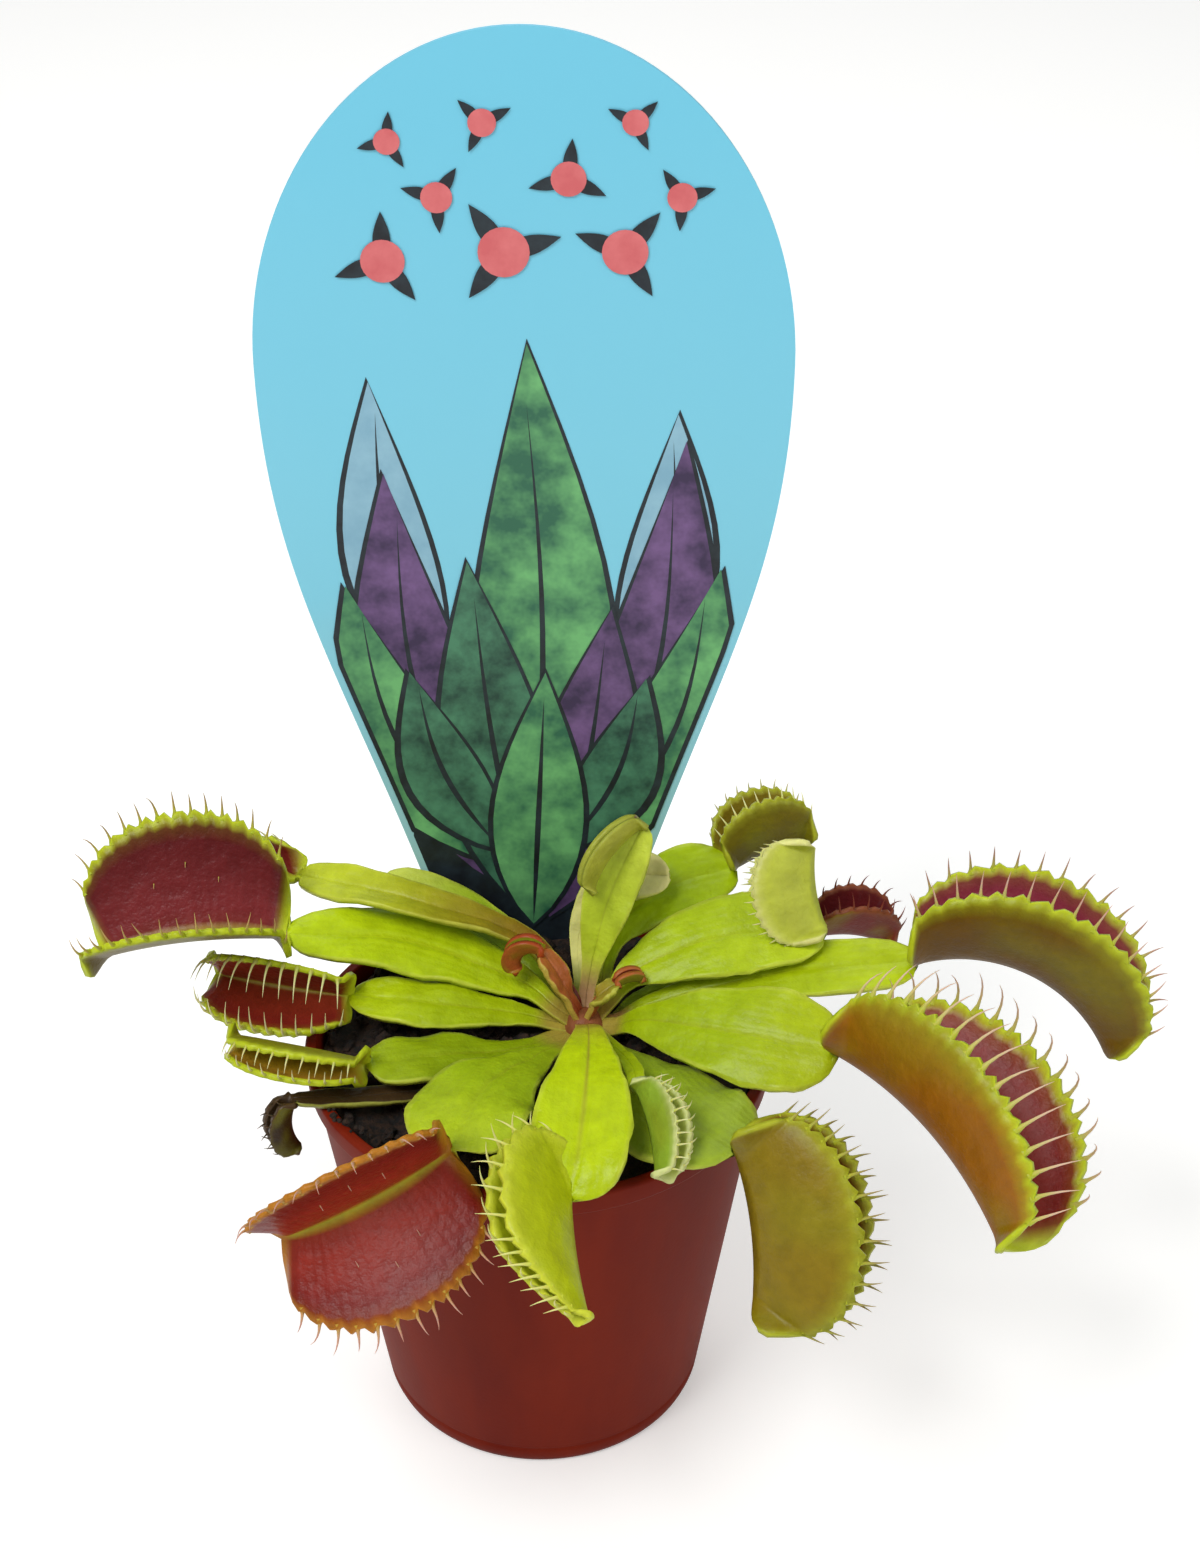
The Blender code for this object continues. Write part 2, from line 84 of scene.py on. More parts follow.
leafLook = {
    "veinPitch": 0.9,     # mm between the veins that run along a blade
    "mottleSize": 2.2,    # mm, the cloudy change of green
    "poreSize": 0.35,     # mm, skin grain, drawn coarser than the real cells so that it shows
}


def leafTissue(name, tint, roughness, veinDepth, veinShadow, shine):
    # living leaf, waxy cuticle over soft cells: clouded colour, soft shine, raised parallel veins
    material, tree, shader = newMaterial(name)
    colour = add(tree, "ShaderNodeAttribute", attribute_name=tint)
    across = add(tree, "ShaderNodeAttribute", attribute_name="veinLine")
    where = add(tree, "ShaderNodeTexCoord")
    cloud = add(tree, "ShaderNodeTexNoise",
                {"Vector": where.outputs["Object"], "Scale": 1 / (leafLook["mottleSize"] * mm),
                 "Detail": 4.0, "Roughness": 0.6})
    grain = add(tree, "ShaderNodeTexNoise",
                {"Vector": where.outputs["Object"], "Scale": 1 / (leafLook["poreSize"] * mm),
                 "Detail": 2.0})
    vein = add(tree, "ShaderNodeMath", {0: across.outputs["Fac"], 1: 2 * pi / leafLook["veinPitch"]},
               operation="MULTIPLY")
    ridge = add(tree, "ShaderNodeMath", {0: vein.outputs[0]}, operation="COSINE")
    lighter = add(tree, "ShaderNodeMapRange",
                  {"Value": cloud.outputs["Fac"], "From Min": 0.3, "From Max": 0.7,
                   "To Min": 0.88, "To Max": 1.12})
    veinShade = add(tree, "ShaderNodeMapRange",
                    {"Value": ridge.outputs[0], "From Min": -1.0, "From Max": 1.0,
                     "To Min": 1 + veinShadow / 2, "To Max": 1 - veinShadow})
    level = add(tree, "ShaderNodeMath", {0: lighter.outputs[0], 1: veinShade.outputs[0]},
                operation="MULTIPLY")
    shade = add(tree, "ShaderNodeVectorMath",
                {0: colour.outputs["Color"], "Scale": level.outputs[0]}, operation="SCALE")
    tree.links.new(shade.outputs[0], shader.inputs["Base Color"])
    wax = add(tree, "ShaderNodeMapRange",
              {"Value": cloud.outputs["Fac"], "To Min": roughness - 0.1, "To Max": roughness + 0.12})
    tree.links.new(wax.outputs[0], shader.inputs["Roughness"])
    veins = add(tree, "ShaderNodeBump",
                {"Height": ridge.outputs[0], "Distance": veinDepth * mm, "Strength": 0.35})
    skin = add(tree, "ShaderNodeBump",
               {"Height": grain.outputs["Fac"], "Distance": 0.06 * mm, "Strength": 0.5,
                "Normal": veins.outputs[0]})
    puckers = add(tree, "ShaderNodeBump",
                  {"Height": cloud.outputs["Fac"], "Distance": 0.8 * mm, "Strength": 0.42,
                   "Normal": skin.outputs[0]})
    tree.links.new(puckers.outputs[0], shader.inputs["Normal"])
    shader.inputs["IOR"].default_value = 1.38
    shader.inputs["Subsurface Weight"].default_value = 0.08
    shader.inputs["Subsurface Radius"].default_value = (0.9, 0.7, 0.2)
    shader.inputs["Subsurface Scale"].default_value = 0.6 * mm
    shader.inputs["Specular IOR Level"].default_value = 0.3
    shader.inputs["Coat Weight"].default_value = shine
    shader.inputs["Coat Roughness"].default_value = 0.25
    return material


def toothTissue(name, root, tip):
    # teeth are the same leaf drawn out thin: the margin's green at the root, paler to the tip
    material, tree, shader = newMaterial(name)
    where = add(tree, "ShaderNodeTexCoord")
    length = add(tree, "ShaderNodeSeparateXYZ", {"Vector": where.outputs["UV"]})
    blush = add(tree, "ShaderNodeTexNoise",
                {"Vector": where.outputs["Object"], "Scale": 1 / (3.2 * mm), "Detail": 2.0})
    place = add(tree, "ShaderNodeMath", {0: blush.outputs["Fac"], 1: 0.3, 2: length.outputs["X"]},
                operation="MULTIPLY_ADD")
    colour = add(tree, "ShaderNodeValToRGB", {"Fac": place.outputs[0]})
    colour.color_ramp.elements[0].position = 0.22
    colour.color_ramp.elements[0].color = linear(root)
    colour.color_ramp.elements[1].position = 0.75
    colour.color_ramp.elements[1].color = linear(tip)
    tree.links.new(colour.outputs[0], shader.inputs["Base Color"])
    shader.inputs["Roughness"].default_value = 0.42
    shader.inputs["IOR"].default_value = 1.38
    shader.inputs["Specular IOR Level"].default_value = 0.3
    shader.inputs["Subsurface Weight"].default_value = 0.15
    shader.inputs["Subsurface Scale"].default_value = 0.4 * mm
    return material


def mouldedPlastic():
    # injection-moulded polypropylene: an even terracotta brown, satin, with faint flow lines
    # and the mould's grain, which is drawn coarser than the real one so that it shows
    material, tree, shader = newMaterial("moulded_polypropylene_terracotta")
    where = add(tree, "ShaderNodeTexCoord")
    stretched = add(tree, "ShaderNodeMapping", {"Vector": where.outputs["Object"],
                                                "Scale": (1.0, 1.0, 0.25)})
    flow = add(tree, "ShaderNodeTexNoise", {"Vector": stretched.outputs[0], "Scale": 1 / (9 * mm),
                                            "Detail": 5.0, "Roughness": 0.6})
    fine = add(tree, "ShaderNodeTexNoise", {"Vector": where.outputs["Object"],
                                            "Scale": 1 / (0.5 * mm), "Detail": 2.0})
    colour = add(tree, "ShaderNodeValToRGB", {"Fac": flow.outputs["Fac"]})
    colour.color_ramp.elements[0].position = 0.3
    colour.color_ramp.elements[0].color = linear("#6E1704")
    colour.color_ramp.elements[1].position = 0.72
    colour.color_ramp.elements[1].color = linear("#80230A")
    tree.links.new(colour.outputs[0], shader.inputs["Base Color"])
    satin = add(tree, "ShaderNodeMapRange", {"Value": flow.outputs["Fac"], "To Min": 0.44,
                                             "To Max": 0.56})
    tree.links.new(satin.outputs[0], shader.inputs["Roughness"])
    bump = add(tree, "ShaderNodeBump", {"Height": fine.outputs["Fac"], "Distance": 0.04 * mm,
                                        "Strength": 0.4})
    tree.links.new(bump.outputs[0], shader.inputs["Normal"])
    shader.inputs["IOR"].default_value = 1.49
    shader.inputs["Specular IOR Level"].default_value = 0.1
    return material


def peat(name, dark, light):
    # milled peat, damp: almost black, with browner fibres and no shine but on wet grains
    material, tree, shader = newMaterial(name)
    where = add(tree, "ShaderNodeTexCoord")
    grains = add(tree, "ShaderNodeTexNoise", {"Vector": where.outputs["Object"],
                                              "Scale": 1 / (1.1 * mm), "Detail": 6.0,
                                              "Roughness": 0.7})
    colour = add(tree, "ShaderNodeValToRGB", {"Fac": grains.outputs["Fac"]})
    colour.color_ramp.elements[0].position = 0.4
    colour.color_ramp.elements[0].color = linear(dark)
    colour.color_ramp.elements[1].position = 0.78
    colour.color_ramp.elements[1].color = linear(light)
    tree.links.new(colour.outputs[0], shader.inputs["Base Color"])
    bump = add(tree, "ShaderNodeBump", {"Height": grains.outputs["Fac"], "Distance": 0.7 * mm,
                                        "Strength": 0.9})
    tree.links.new(bump.outputs[0], shader.inputs["Normal"])
    shader.inputs["Roughness"].default_value = 0.82
    return material


def printedSheet(low, high):
    # extruded polystyrene sheet, screen printed: a sky blue that pales downwards, low gloss
    material, tree, shader = newMaterial("printed_polystyrene_sky")
    where = add(tree, "ShaderNodeNewGeometry")
    split = add(tree, "ShaderNodeSeparateXYZ", {"Vector": where.outputs["Position"]})
    rise = add(tree, "ShaderNodeMapRange", {"Value": split.outputs["Z"], "From Min": low,
                                            "From Max": high})
    wash = add(tree, "ShaderNodeTexNoise", {"Vector": where.outputs["Position"],
                                            "Scale": 1 / (22 * mm), "Detail": 3.0})
    place = add(tree, "ShaderNodeMath", {0: wash.outputs["Fac"], 1: 0.16, 2: rise.outputs[0]},
                operation="MULTIPLY_ADD")
    colour = add(tree, "ShaderNodeValToRGB", {"Fac": place.outputs[0]})
    ramp = colour.color_ramp
    ramp.elements[0].position = 0.1
    ramp.elements[0].color = linear("#A9D6D6")
    ramp.elements[1].position = 1.0
    ramp.elements[1].color = linear("#74D0EC")
    ramp.elements.new(0.5).color = linear("#84D6EE")
    tree.links.new(colour.outputs[0], shader.inputs["Base Color"])
    shader.inputs["Roughness"].default_value = 0.42
    shader.inputs["IOR"].default_value = 1.57
    shader.inputs["Coat Weight"].default_value = 0.1
    return material


def printInk(name, pale, deep, patch):
    # screen-printed ink with a brushed look: two close tones in soft patches, satin
    material, tree, shader = newMaterial(name)
    where = add(tree, "ShaderNodeTexCoord")
    patches = add(tree, "ShaderNodeTexNoise", {"Vector": where.outputs["Object"],
                                               "Scale": 1 / (patch * mm), "Detail": 4.0,
                                               "Roughness": 0.65})
    colour = add(tree, "ShaderNodeValToRGB", {"Fac": patches.outputs["Fac"]})
    colour.color_ramp.elements[0].position = 0.36
    colour.color_ramp.elements[0].color = linear(deep)
    colour.color_ramp.elements[1].position = 0.66
    colour.color_ramp.elements[1].color = linear(pale)
    tree.links.new(colour.outputs[0], shader.inputs["Base Color"])
    shader.inputs["Roughness"].default_value = 0.45
    return material


crownSeat = {
    "centre": Vector((5.5, 3.0, 50.0)),  # mm
    "reach": 4.15,                       # mm from the centre to the foot of a leaf
    "radius": 2.6,                       # mm, the stem itself
    "colour": "#8C5230",
}

# Tints: blade foot, blade, blade tip and blade underside, midrib line and blade edge, then the
# trap's inside low and high, its midrib, margin, outside and the olive clouds over the outside.
# redTo is how far up the blade the foot's tint runs, redLine how strong the midrib line is.
usualTints = dict(foot="#A8963C", blade="#A0B408", tip="#B4C80C", under="#8A9A12",
                  line="#9A7A34", edge="#D6DC5A", low="#9A3A2E", high="#6E1C16", rib="#A8983A",
                  rim="#BECB22", back="#80600F", olive="#8A8A14", redTo=0.2, redLine=0.25)


def palette(**changes):
    return {**usualTints, **changes}


# Each leaf: seat is its direction and rise from the crown in degrees, route its midrib's places
# in mm, width its widest in mm at the share peak, keel its fold, foot its half width at the crown
# and face the way that the blade looks. The trap has the direction and rise of its hinge, its roll,
# length, depth, opening, belly and arch in degrees or mm, the fan of its two ends, and its teeth
# with their reach in mm and how far they lean over the mouth. With skew, one end is deeper.
leaves = {
    "leaf_left": dict(
        seat=(168, 34), route=[(-3, 6.6, 54.6), (-16.5, 9, 58.6), (-29.6, 6.6, 61.2)],
        width=9, peak=0.62, keel=0.12, face=(0, -0.25, 0.97),
        trap=dict(aim=(188, 12), roll=-10, long=22, deep=14.6, gape=84, belly=14, arch=32,
                  fan=(6, 14), teeth=10, reach=3.4),
        tints=palette(low="#7C2628", high="#5A1012", back="#6A5A12", blade="#AEC40A",
                      tip="#BAD010")),
    "leaf_left_back": dict(
        seat=(134, 52), route=[(-1.5, 9.8, 58), (-14.3, 11.4, 62.4), (-29, 17, 62.2)],
        width=5.5, peak=0.85, keel=0.3, face=(0, -0.2, 0.98),
        trap=dict(aim=(160, -30), roll=0, long=12, deep=7, gape=45, belly=30, arch=40,
                  fan=(10, 12), teeth=6, reach=2.2),
        tints=palette(foot="#74260E", blade="#A2A41A", tip="#BECA28", redTo=0.9)),
    "leaf_left_low": dict(
        seat=(178, 12), route=[(-3.5, 2.8, 52.5), (-12.6, 2.2, 54.3), (-22.2, 4.2, 54)],
        width=6.6, peak=0.7, keel=0.1, face=(0, -0.25, 0.97),
        trap=dict(aim=(176, 6), roll=-64, long=17, deep=8.2, gape=62, belly=30, arch=20,
                  fan=(10, 14), teeth=8, reach=4.2, lean=0.9),
        tints=palette(low="#8C321C", high="#7E221A", back="#807012")),
    "leaf_left_front": dict(
        seat=(209, 3), route=[(-3, -2.8, 51.3), (-11.2, -5.6, 52.9), (-19.4, -8.2, 53.9)],
        width=8.4, peak=0.72, keel=0.04,
        trap=dict(aim=(174, 6), roll=-66, long=16, deep=6.6, gape=26, belly=50, arch=14,
                  fan=(10, 12), teeth=7, reach=2.2, lean=0.6),
        tints=palette(blade="#8CA206", tip="#98AC0C", back="#8A8A16", low="#A8921E",
                      high="#A87C26", rib="#B4AA2E")),
    "leaf_front_left": dict(
        seat=(242, 6), route=[(-0.6, -7, 53.6), (-6, -15, 55.8), (-9, -24.6, 55.8)],
        width=14, peak=0.78, keel=0.04, face=(-0.1, -0.1, 1),
        trap=dict(aim=(214, -18), roll=-72, long=21, deep=13.4, gape=98, belly=8, arch=34,
                  fan=(8, 20), teeth=9, reach=3.2),
        tints=palette(blade="#A0B810", tip="#B2C61A", low="#A02E1E", high="#74120A",
                      rib="#B8AA20", rim="#BC7A20", back="#7E4A14")),
    "leaf_front": dict(
        seat=(270, 42), route=[(6, -6.5, 57), (5.8, -16.5, 58.4), (5, -25.6, 56.6), (4, -30, 53.6)],
        width=10.8, peak=0.66, keel=0.12,
        trap=dict(aim=(272, -14), roll=52, long=14.5, deep=9.6, gape=14, belly=44, arch=16,
                  fan=(80, 8), skew=0.7, teeth=9, reach=3.4),
        tints=palette(foot="#A06038", redTo=0.4, blade="#BCD002", tip="#B4C802", low="#B4BC1C",
                      high="#B8C01C", rim="#D2D83A", back="#B0BC08", redLine=0.8)),
    "leaf_front_right": dict(
        seat=(310, 2), route=[(11, -6, 51.8), (16, -15.6, 53.6), (22.3, -22.8, 53.8)],
        width=15.5, peak=0.68, keel=0.02,
        trap=dict(aim=(298, -48), roll=-50, long=17, deep=13.4, gape=22, belly=58, arch=24,
                  fan=(34, 34), teeth=9, reach=3.6),
        tints=palette(blade="#8EA41C", tip="#9AB02C", back="#86700E", rim="#AEB226")),
    "leaf_right": dict(
        seat=(338, 20), route=[(13, -1.5, 54.8), (23.4, -6.8, 57.4), (34.2, -10.4, 57.4)],
        width=12.5, peak=0.74, keel=0.08, face=(0, -0.5, 0.87),
        trap=dict(aim=(317, 0), roll=-33, long=30, deep=15.6, gape=68, belly=64, arch=40,
                  fan=(10, 12), teeth=11, reach=6, lean=0.75),
        tints=palette(low="#9C3A30", high="#84221C", back="#985E06", blade="#A2B808",
                      tip="#AEBE0C")),
    "leaf_far_right": dict(
        seat=(2, 12), route=[(15, 4, 53.4), (29, 4.6, 57), (44.6, 5, 58.4)],
        width=7.5, peak=0.84, keel=0.16, face=(0, -0.3, 0.95),
        trap=dict(aim=(357, 22), roll=-20, long=27, deep=12.6, gape=62, belly=62, arch=86,
                  fan=(10, 10), teeth=10, reach=3.4),
        tints=palette(foot="#A87C48", low="#8E303E", high="#802838", back="#6A4A08")),
    "leaf_right_back": dict(
        seat=(26, 46), route=[(12, 6.2, 56.6), (22, 8, 60), (34, 8.4, 60.6)],
        width=10.5, peak=0.68, keel=0.1, face=(0, -0.4, 0.92),
        trap=dict(aim=(128, 50), roll=-121, long=10, deep=8, gape=40, belly=30, arch=30,
                  fan=(16, 16), teeth=8, reach=1.2),
        tints=palette(low="#D6D874", high="#DADC78", rim="#E2E08A", back="#BEC640",
                      rib="#C8CC50", blade="#A8BE0E", tip="#BACE20")),
    "leaf_back": dict(
        seat=(60, 34), route=[(9, 11.4, 58), (16.5, 16.4, 61.6), (23.6, 18.6, 62.4)],
        width=9, peak=0.7, keel=0.1, face=(0, -0.4, 0.92),
        trap=dict(aim=(24, 24), roll=-22, long=9.5, deep=8, gape=44, belly=50, arch=30,
                  fan=(16, 16), teeth=7, reach=1.7),
        tints=palette(low="#7A6C18", high="#7E6A16", rim="#A9AE22", back="#6C600C",
                      blade="#9EB804", tip="#A6BE06")),
    "leaf_back_low": dict(
        seat=(20, 0), route=[(13, 7.2, 51.4), (24, 13, 53), (34, 16.6, 53.6)],
        width=4.5, peak=0.7, keel=0.1,
        trap=dict(aim=(12, 6), roll=0, long=9, deep=6, gape=50, belly=20, arch=40,
                  fan=(14, 14), teeth=5, reach=2),
        tints=palette(low="#6E1E22", high="#641A1E", back="#7A2A22", rim="#8A4A2A")),
    "leaf_centre": dict(
        seat=(84, 54), route=[(6.8, 7, 59), (8.6, 9, 65.6), (12.3, 11.4, 73.6)],
        width=6, peak=0.66, keel=0.3, foot=1, face=(-0.2, -0.9, 0.4),
        trap=dict(aim=(214, -12), roll=0, long=10, deep=3.2, gape=12, belly=62, arch=60,
                  fan=(6, 6), teeth=0, reach=0),
        tints=palette(foot="#B08A62", blade="#B4C62C", tip="#C2D040", back="#A8A83A",
                      rim="#A4A83C", redTo=0.34)),
    "leaf_back_left": dict(
        seat=(126, 12), route=[(-1.5, 12, 54.4), (-10, 16.4, 57.6), (-19.5, 19.4, 59.6)],
        width=6.5, peak=0.8, keel=0.12, face=(0, -0.4, 0.92),
        tints=palette(blade="#92AA14", tip="#B8C448")),
    "leaf_small_front": dict(
        seat=(296, 28), route=[(9.4, -5.5, 53.4), (11, -11, 55.6), (11.4, -16.6, 57.4)],
        width=2.2, peak=0.6, keel=0.1, foot=0.7,
        trap=dict(aim=(292, -14), roll=-44, long=11, deep=4.6, gape=34, belly=46, arch=26,
                  fan=(12, 12), teeth=7, reach=1.8),
        tints=palette(low="#A8B848", high="#B8C258", rim="#D2D88C", back="#8CA82C")),
    "leaf_young_hook": dict(
        seat=(180, 66), route=[(3, 3.2, 55.8), (1.8, 4, 58), (0.4, 4.8, 59.8)],
        width=3.6, peak=0.6, keel=0.3,
        trap=dict(aim=(170, 30), roll=0, long=5, deep=2.2, gape=40, belly=50, arch=150,
                  fan=(6, 6), teeth=0, reach=0),
        tints=palette(foot="#A8522C", blade="#A85A2C", tip="#B0642E", back="#AA5628",
                      under="#A04A26", rim="#A8441E", low="#98A024", high="#98A024")),
    "leaf_young_bud": dict(
        seat=(350, 70), route=[(7.4, 2.6, 54.9), (8.4, 2.9, 55.8), (9.4, 3.2, 56.4)],
        width=3, peak=0.6, keel=0.4,
        trap=dict(aim=(20, 30), roll=0, long=3, deep=1.6, gape=40, belly=50, arch=60,
                  fan=(6, 6), teeth=0, reach=0),
        tints=palette(foot="#A0542A", blade="#9C8A2A", tip="#96902A", back="#8E8426",
                      rim="#B0602E")),
    "leaf_small_back_left": dict(
        seat=(104, -4), route=[(3, 10, 50.8), (-1.4, 14.6, 51.8), (-4.6, 17.4, 53)],
        width=3, peak=0.6, keel=0.1, foot=0.7,
        trap=dict(aim=(150, 16), roll=0, long=4, deep=2.4, gape=44, belly=30, arch=40,
                  fan=(10, 10), teeth=4, reach=1),
        tints=palette(blade="#8A962C", tip="#98A83A", low="#A8B248", high="#B4BC58")),
    "leaf_narrow_back": dict(
        seat=(98, 26), route=[(5, 12.2, 57.8), (9.4, 14.8, 63.2), (15.6, 13.4, 65)],
        width=6, peak=0.72, keel=0.42, foot=0.7, face=(-0.2, -0.7, 0.6),
        tints=palette(foot="#A8B040", blade="#D8D480", tip="#E8E090", under="#D4CC78")),
    "leaf_dead": dict(
        seat=(226, -14), route=[(-4, -5.4, 49.9), (-16, -10, 51), (-27.4, -12.4, 52.1)],
        width=3, peak=0.7, keel=0.1, foot=0.6,
        trap=dict(aim=(205, -60), roll=0, long=7, deep=3, gape=40, belly=60, arch=60,
                  fan=(10, 10), teeth=4, reach=1.2),
        tints=palette(foot="#3A2A18", blade="#44321C", tip="#3A2814", low="#2E2012",
                      high="#382712", rib="#2A1C10", rim="#4A361E", back="#382712",
                      under="#2E2214")),
}

leafMake = {
    "thickness": 0.7,      # mm
    "stalk": 0.6,          # mm, half the width of the stalk
    "petiole": (0.85, 0.55, 0.25),  # shares of the way back to the crown's centre
    "bladeRows": 30,
    "halfColumns": 9,      # from the midrib to a margin
    "foot": 1.1,           # mm, half a blade's width at the crown
    "widen": 1.6,          # how late a blade widens from its foot
    "round": 2.6,          # how blunt its tip is
    "ragged": 0.05,        # uneven edge, as a share of half the width, like the next three
    "frill": 0.08,
    "groove": (0.05, 0.14),  # depth and width
    "cup": 0.12,
    "wrinkles": ((0.25, 0.35), (0.12, 0.9)),  # height in mm and how close together
    "hingeSteps": 12,
    "lobeSteps": 8,
    "endLean": 78,         # degrees, the lobes lie almost flat where they join the stalk
    "rowsPerTooth": 3,
    "plainRows": 24,       # for a trap with no teeth
    "endRows": (0.002, 0.008, 0.018),  # close together, so that a trap's ends are round
    "toothRun": (0.06, 0.88),  # where the teeth start along the margin and how far they go
    "toothFactor": 1.5,    # teeth shown for each tooth of the plan
    "toothRadius": 0.27,   # mm, at the root
    "toothLean": 0.35,     # how far the teeth lean over the mouth
    "toothSway": 0.12,     # how unlike one another they stand
    "rooted": 0.5,         # mm of a tooth inside the margin
    "hairs": ((0.36, 0.5), (0.5, 0.62), (0.64, 0.5)),  # shares along and up a lobe
    "hairLength": 1.3,     # mm
    "hairRadii": (0.3, 0.22, 0.1),
}


def catmull(points, share):
    spans = len(points) - 1
    along = min(max(share, 0.0), 1.0) * spans
    span = min(int(along), spans - 1)
    t = along - span
    before = points[span - 1] if span else 2 * points[0] - points[1]
    after = points[span + 2] if span + 2 <= spans else 2 * points[-1] - points[-2]
    a, b = points[span], points[span + 1]
    return 0.5 * (2 * a + (b - before) * t + (2 * before - 5 * a + 4 * b - after) * t**2
                  + (3 * a - before - 3 * b + after) * t**3)


def heading(azimuth, pitch):
    azimuth, pitch = radians(azimuth), radians(pitch)
    return Vector((cos(azimuth) * cos(pitch), sin(azimuth) * cos(pitch), sin(pitch)))


def bladeHalfWidth(share, plan):
    peak, widest, foot = plan["peak"], plan["width"] / 2, plan.get("foot", leafMake["foot"])
    if share <= peak:
        return foot + (widest - foot) * smoothStep(share / peak) ** leafMake["widen"]
    fade = (share - peak) / (1 - peak)
    fade = sqrt(max(0.0, 1 - fade ** leafMake["round"]))
    return leafMake["stalk"] + (widest - leafMake["stalk"]) * fade


def bladePoint(points, plan, share, t):
    # t runs from one edge (-1) over the midrib (0) to the other (1)
    face = Vector(plan.get("face", up)).normalized()
    middle = catmull(points, share)
    along = (catmull(points, share + 0.01) - catmull(points, share - 0.01)).normalized()
    side = along.cross(face).normalized()
    lift = side.cross(along)
    uneven = noise.noise(Vector((share * 16, 4 * t, plan["width"]))) * abs(t) ** 4
    half = bladeHalfWidth(share, plan) * (1 + leafMake["ragged"] * uneven)
    frill = leafMake["frill"] * sin(share * 21 + t * 2.4) * abs(t) ** 3 * smoothStep(share * 2)
    grooveDepth, grooveWidth = leafMake["groove"]
    groove = grooveDepth * (1 - min(abs(t) / grooveWidth, 1)) ** 2
    fold = plan["keel"] * abs(t) - leafMake["cup"] * t * t
    place = middle + side * half * t + lift * half * (fold + frill - groove)
    wrinkle = sum(height * noise.noise(place * often) for height, often in leafMake["wrinkles"])
    return place + lift * wrinkle * smoothStep(share * 3)


def trapFrame(trap):
    along = heading(*trap["aim"])
    side = along.cross(up).normalized()
    mouth = side.cross(along)
    turn = Quaternion(along, radians(trap["roll"]))
    return along, turn @ mouth, turn @ side


def trapPoint(base, trap, share, across):
    # share runs along the hinge, across from one margin (-1) over the hinge (0) to the other (1)
    along, mouth, side = trapFrame(trap)
    steps, lobeSteps = leafMake["hingeSteps"], leafMake["lobeSteps"]
    arch = radians(trap["arch"])
    hinge = base.copy()
    for step in range(steps):
        bend = arch * share * (step + 0.5) / steps
        hinge += (cos(bend) * along - sin(bend) * mouth) * trap["long"] * share / steps
    bend = arch * share
    onward = cos(bend) * along - sin(bend) * mouth
    out = sin(bend) * along + cos(bend) * mouth
    end = abs(2 * share - 1)
    deep = trap["deep"] * (1 + trap.get("skew", 0) * (1 - 2 * share))
    deep = leafMake["stalk"] + (deep - leafMake["stalk"]) * sqrt(max(0.0, 1 - end**2.1))
    shut = smoothStep(share / 0.1) * smoothStep((1 - share) / 0.08)
    fan = radians(trap["fan"][share > 0.5]) * (2 * share - 1)
    point = hinge
    for step in range(lobeSteps):
        reach = abs(across) * (step + 0.5) / lobeSteps
        lean = radians(trap["gape"] / 2 + trap["belly"] * (0.5 - reach))
        lean = lean * shut + radians(leafMake["endLean"]) * (1 - shut)
        way = cos(lean) * out + sin(lean) * side * (1 if across > 0 else -1)
        way = cos(fan) * way + sin(fan) * onward
        point = point + way * deep * abs(across) / lobeSteps
    return point


def toothShares(trap):
    count = round(trap["teeth"] * leafMake["toothFactor"])
    start, run = leafMake["toothRun"]
    return [start + run * (k + 0.5) / count for k in range(count)]


def trapShares(trap):
    rows = leafMake["rowsPerTooth"] * len(toothShares(trap)) or leafMake["plainRows"]
    ends = leafMake["endRows"]
    middle = [0.03 + 0.94 * row / rows for row in range(rows + 1)]
    return [*ends, *middle, *(1 - share for share in reversed(ends))]


def bladeTints(plan, share, t):
    # the upper and the under side of the blade
    tints = plan["tints"]
    foot, blade, tip = (linear(tints[k]) for k in ("foot", "blade", "tip"))
    upper = blendColour(foot, blade, smoothStep(share / tints["redTo"]))
    upper = blendColour(upper, tip, smoothStep((share - 0.55) / 0.4))
    line = (1 - min(abs(t) / 0.1, 1)) * (1 - smoothStep(share - 0.1))
    upper = blendColour(upper, linear(tints["line"]), line * tints["redLine"])
    edge = smoothStep((abs(t) - 0.9) / 0.1)
    upper = blendColour(upper, linear(tints["edge"]), 0.45 * edge)
    under = blendColour(foot, linear(tints["under"]), smoothStep(share / tints["redTo"]))
    return upper, under


def trapTints(plan, share, across):
    # the inside and the outside of a lobe
    tints = plan["tints"]
    reach = abs(across)
    inside = blendColour(linear(tints["low"]), linear(tints["high"]), smoothStep(reach * 1.3 - 0.2))
    inside = blendColour(linear(tints["rib"]), inside, smoothStep((reach - 0.02) / 0.1))
    rim = linear(tints["rim"])
    ends = max(smoothStep((0.09 - share) / 0.07), smoothStep((share - 0.92) / 0.06))
    inside = blendColour(inside, rim, max(smoothStep((reach - 0.88) / 0.06), ends))
    outside = blendColour(linear(tints["back"]), rim, smoothStep((reach - 0.85) / 0.12))
    cloud = smoothStep(noise.noise(Vector((share * 4, across * 2, plan["width"]))) * 0.9 + 0.4)
    outside = blendColour(outside, linear(tints["olive"]), 0.45 * cloud * smoothStep(reach * 2))
    return inside, outside


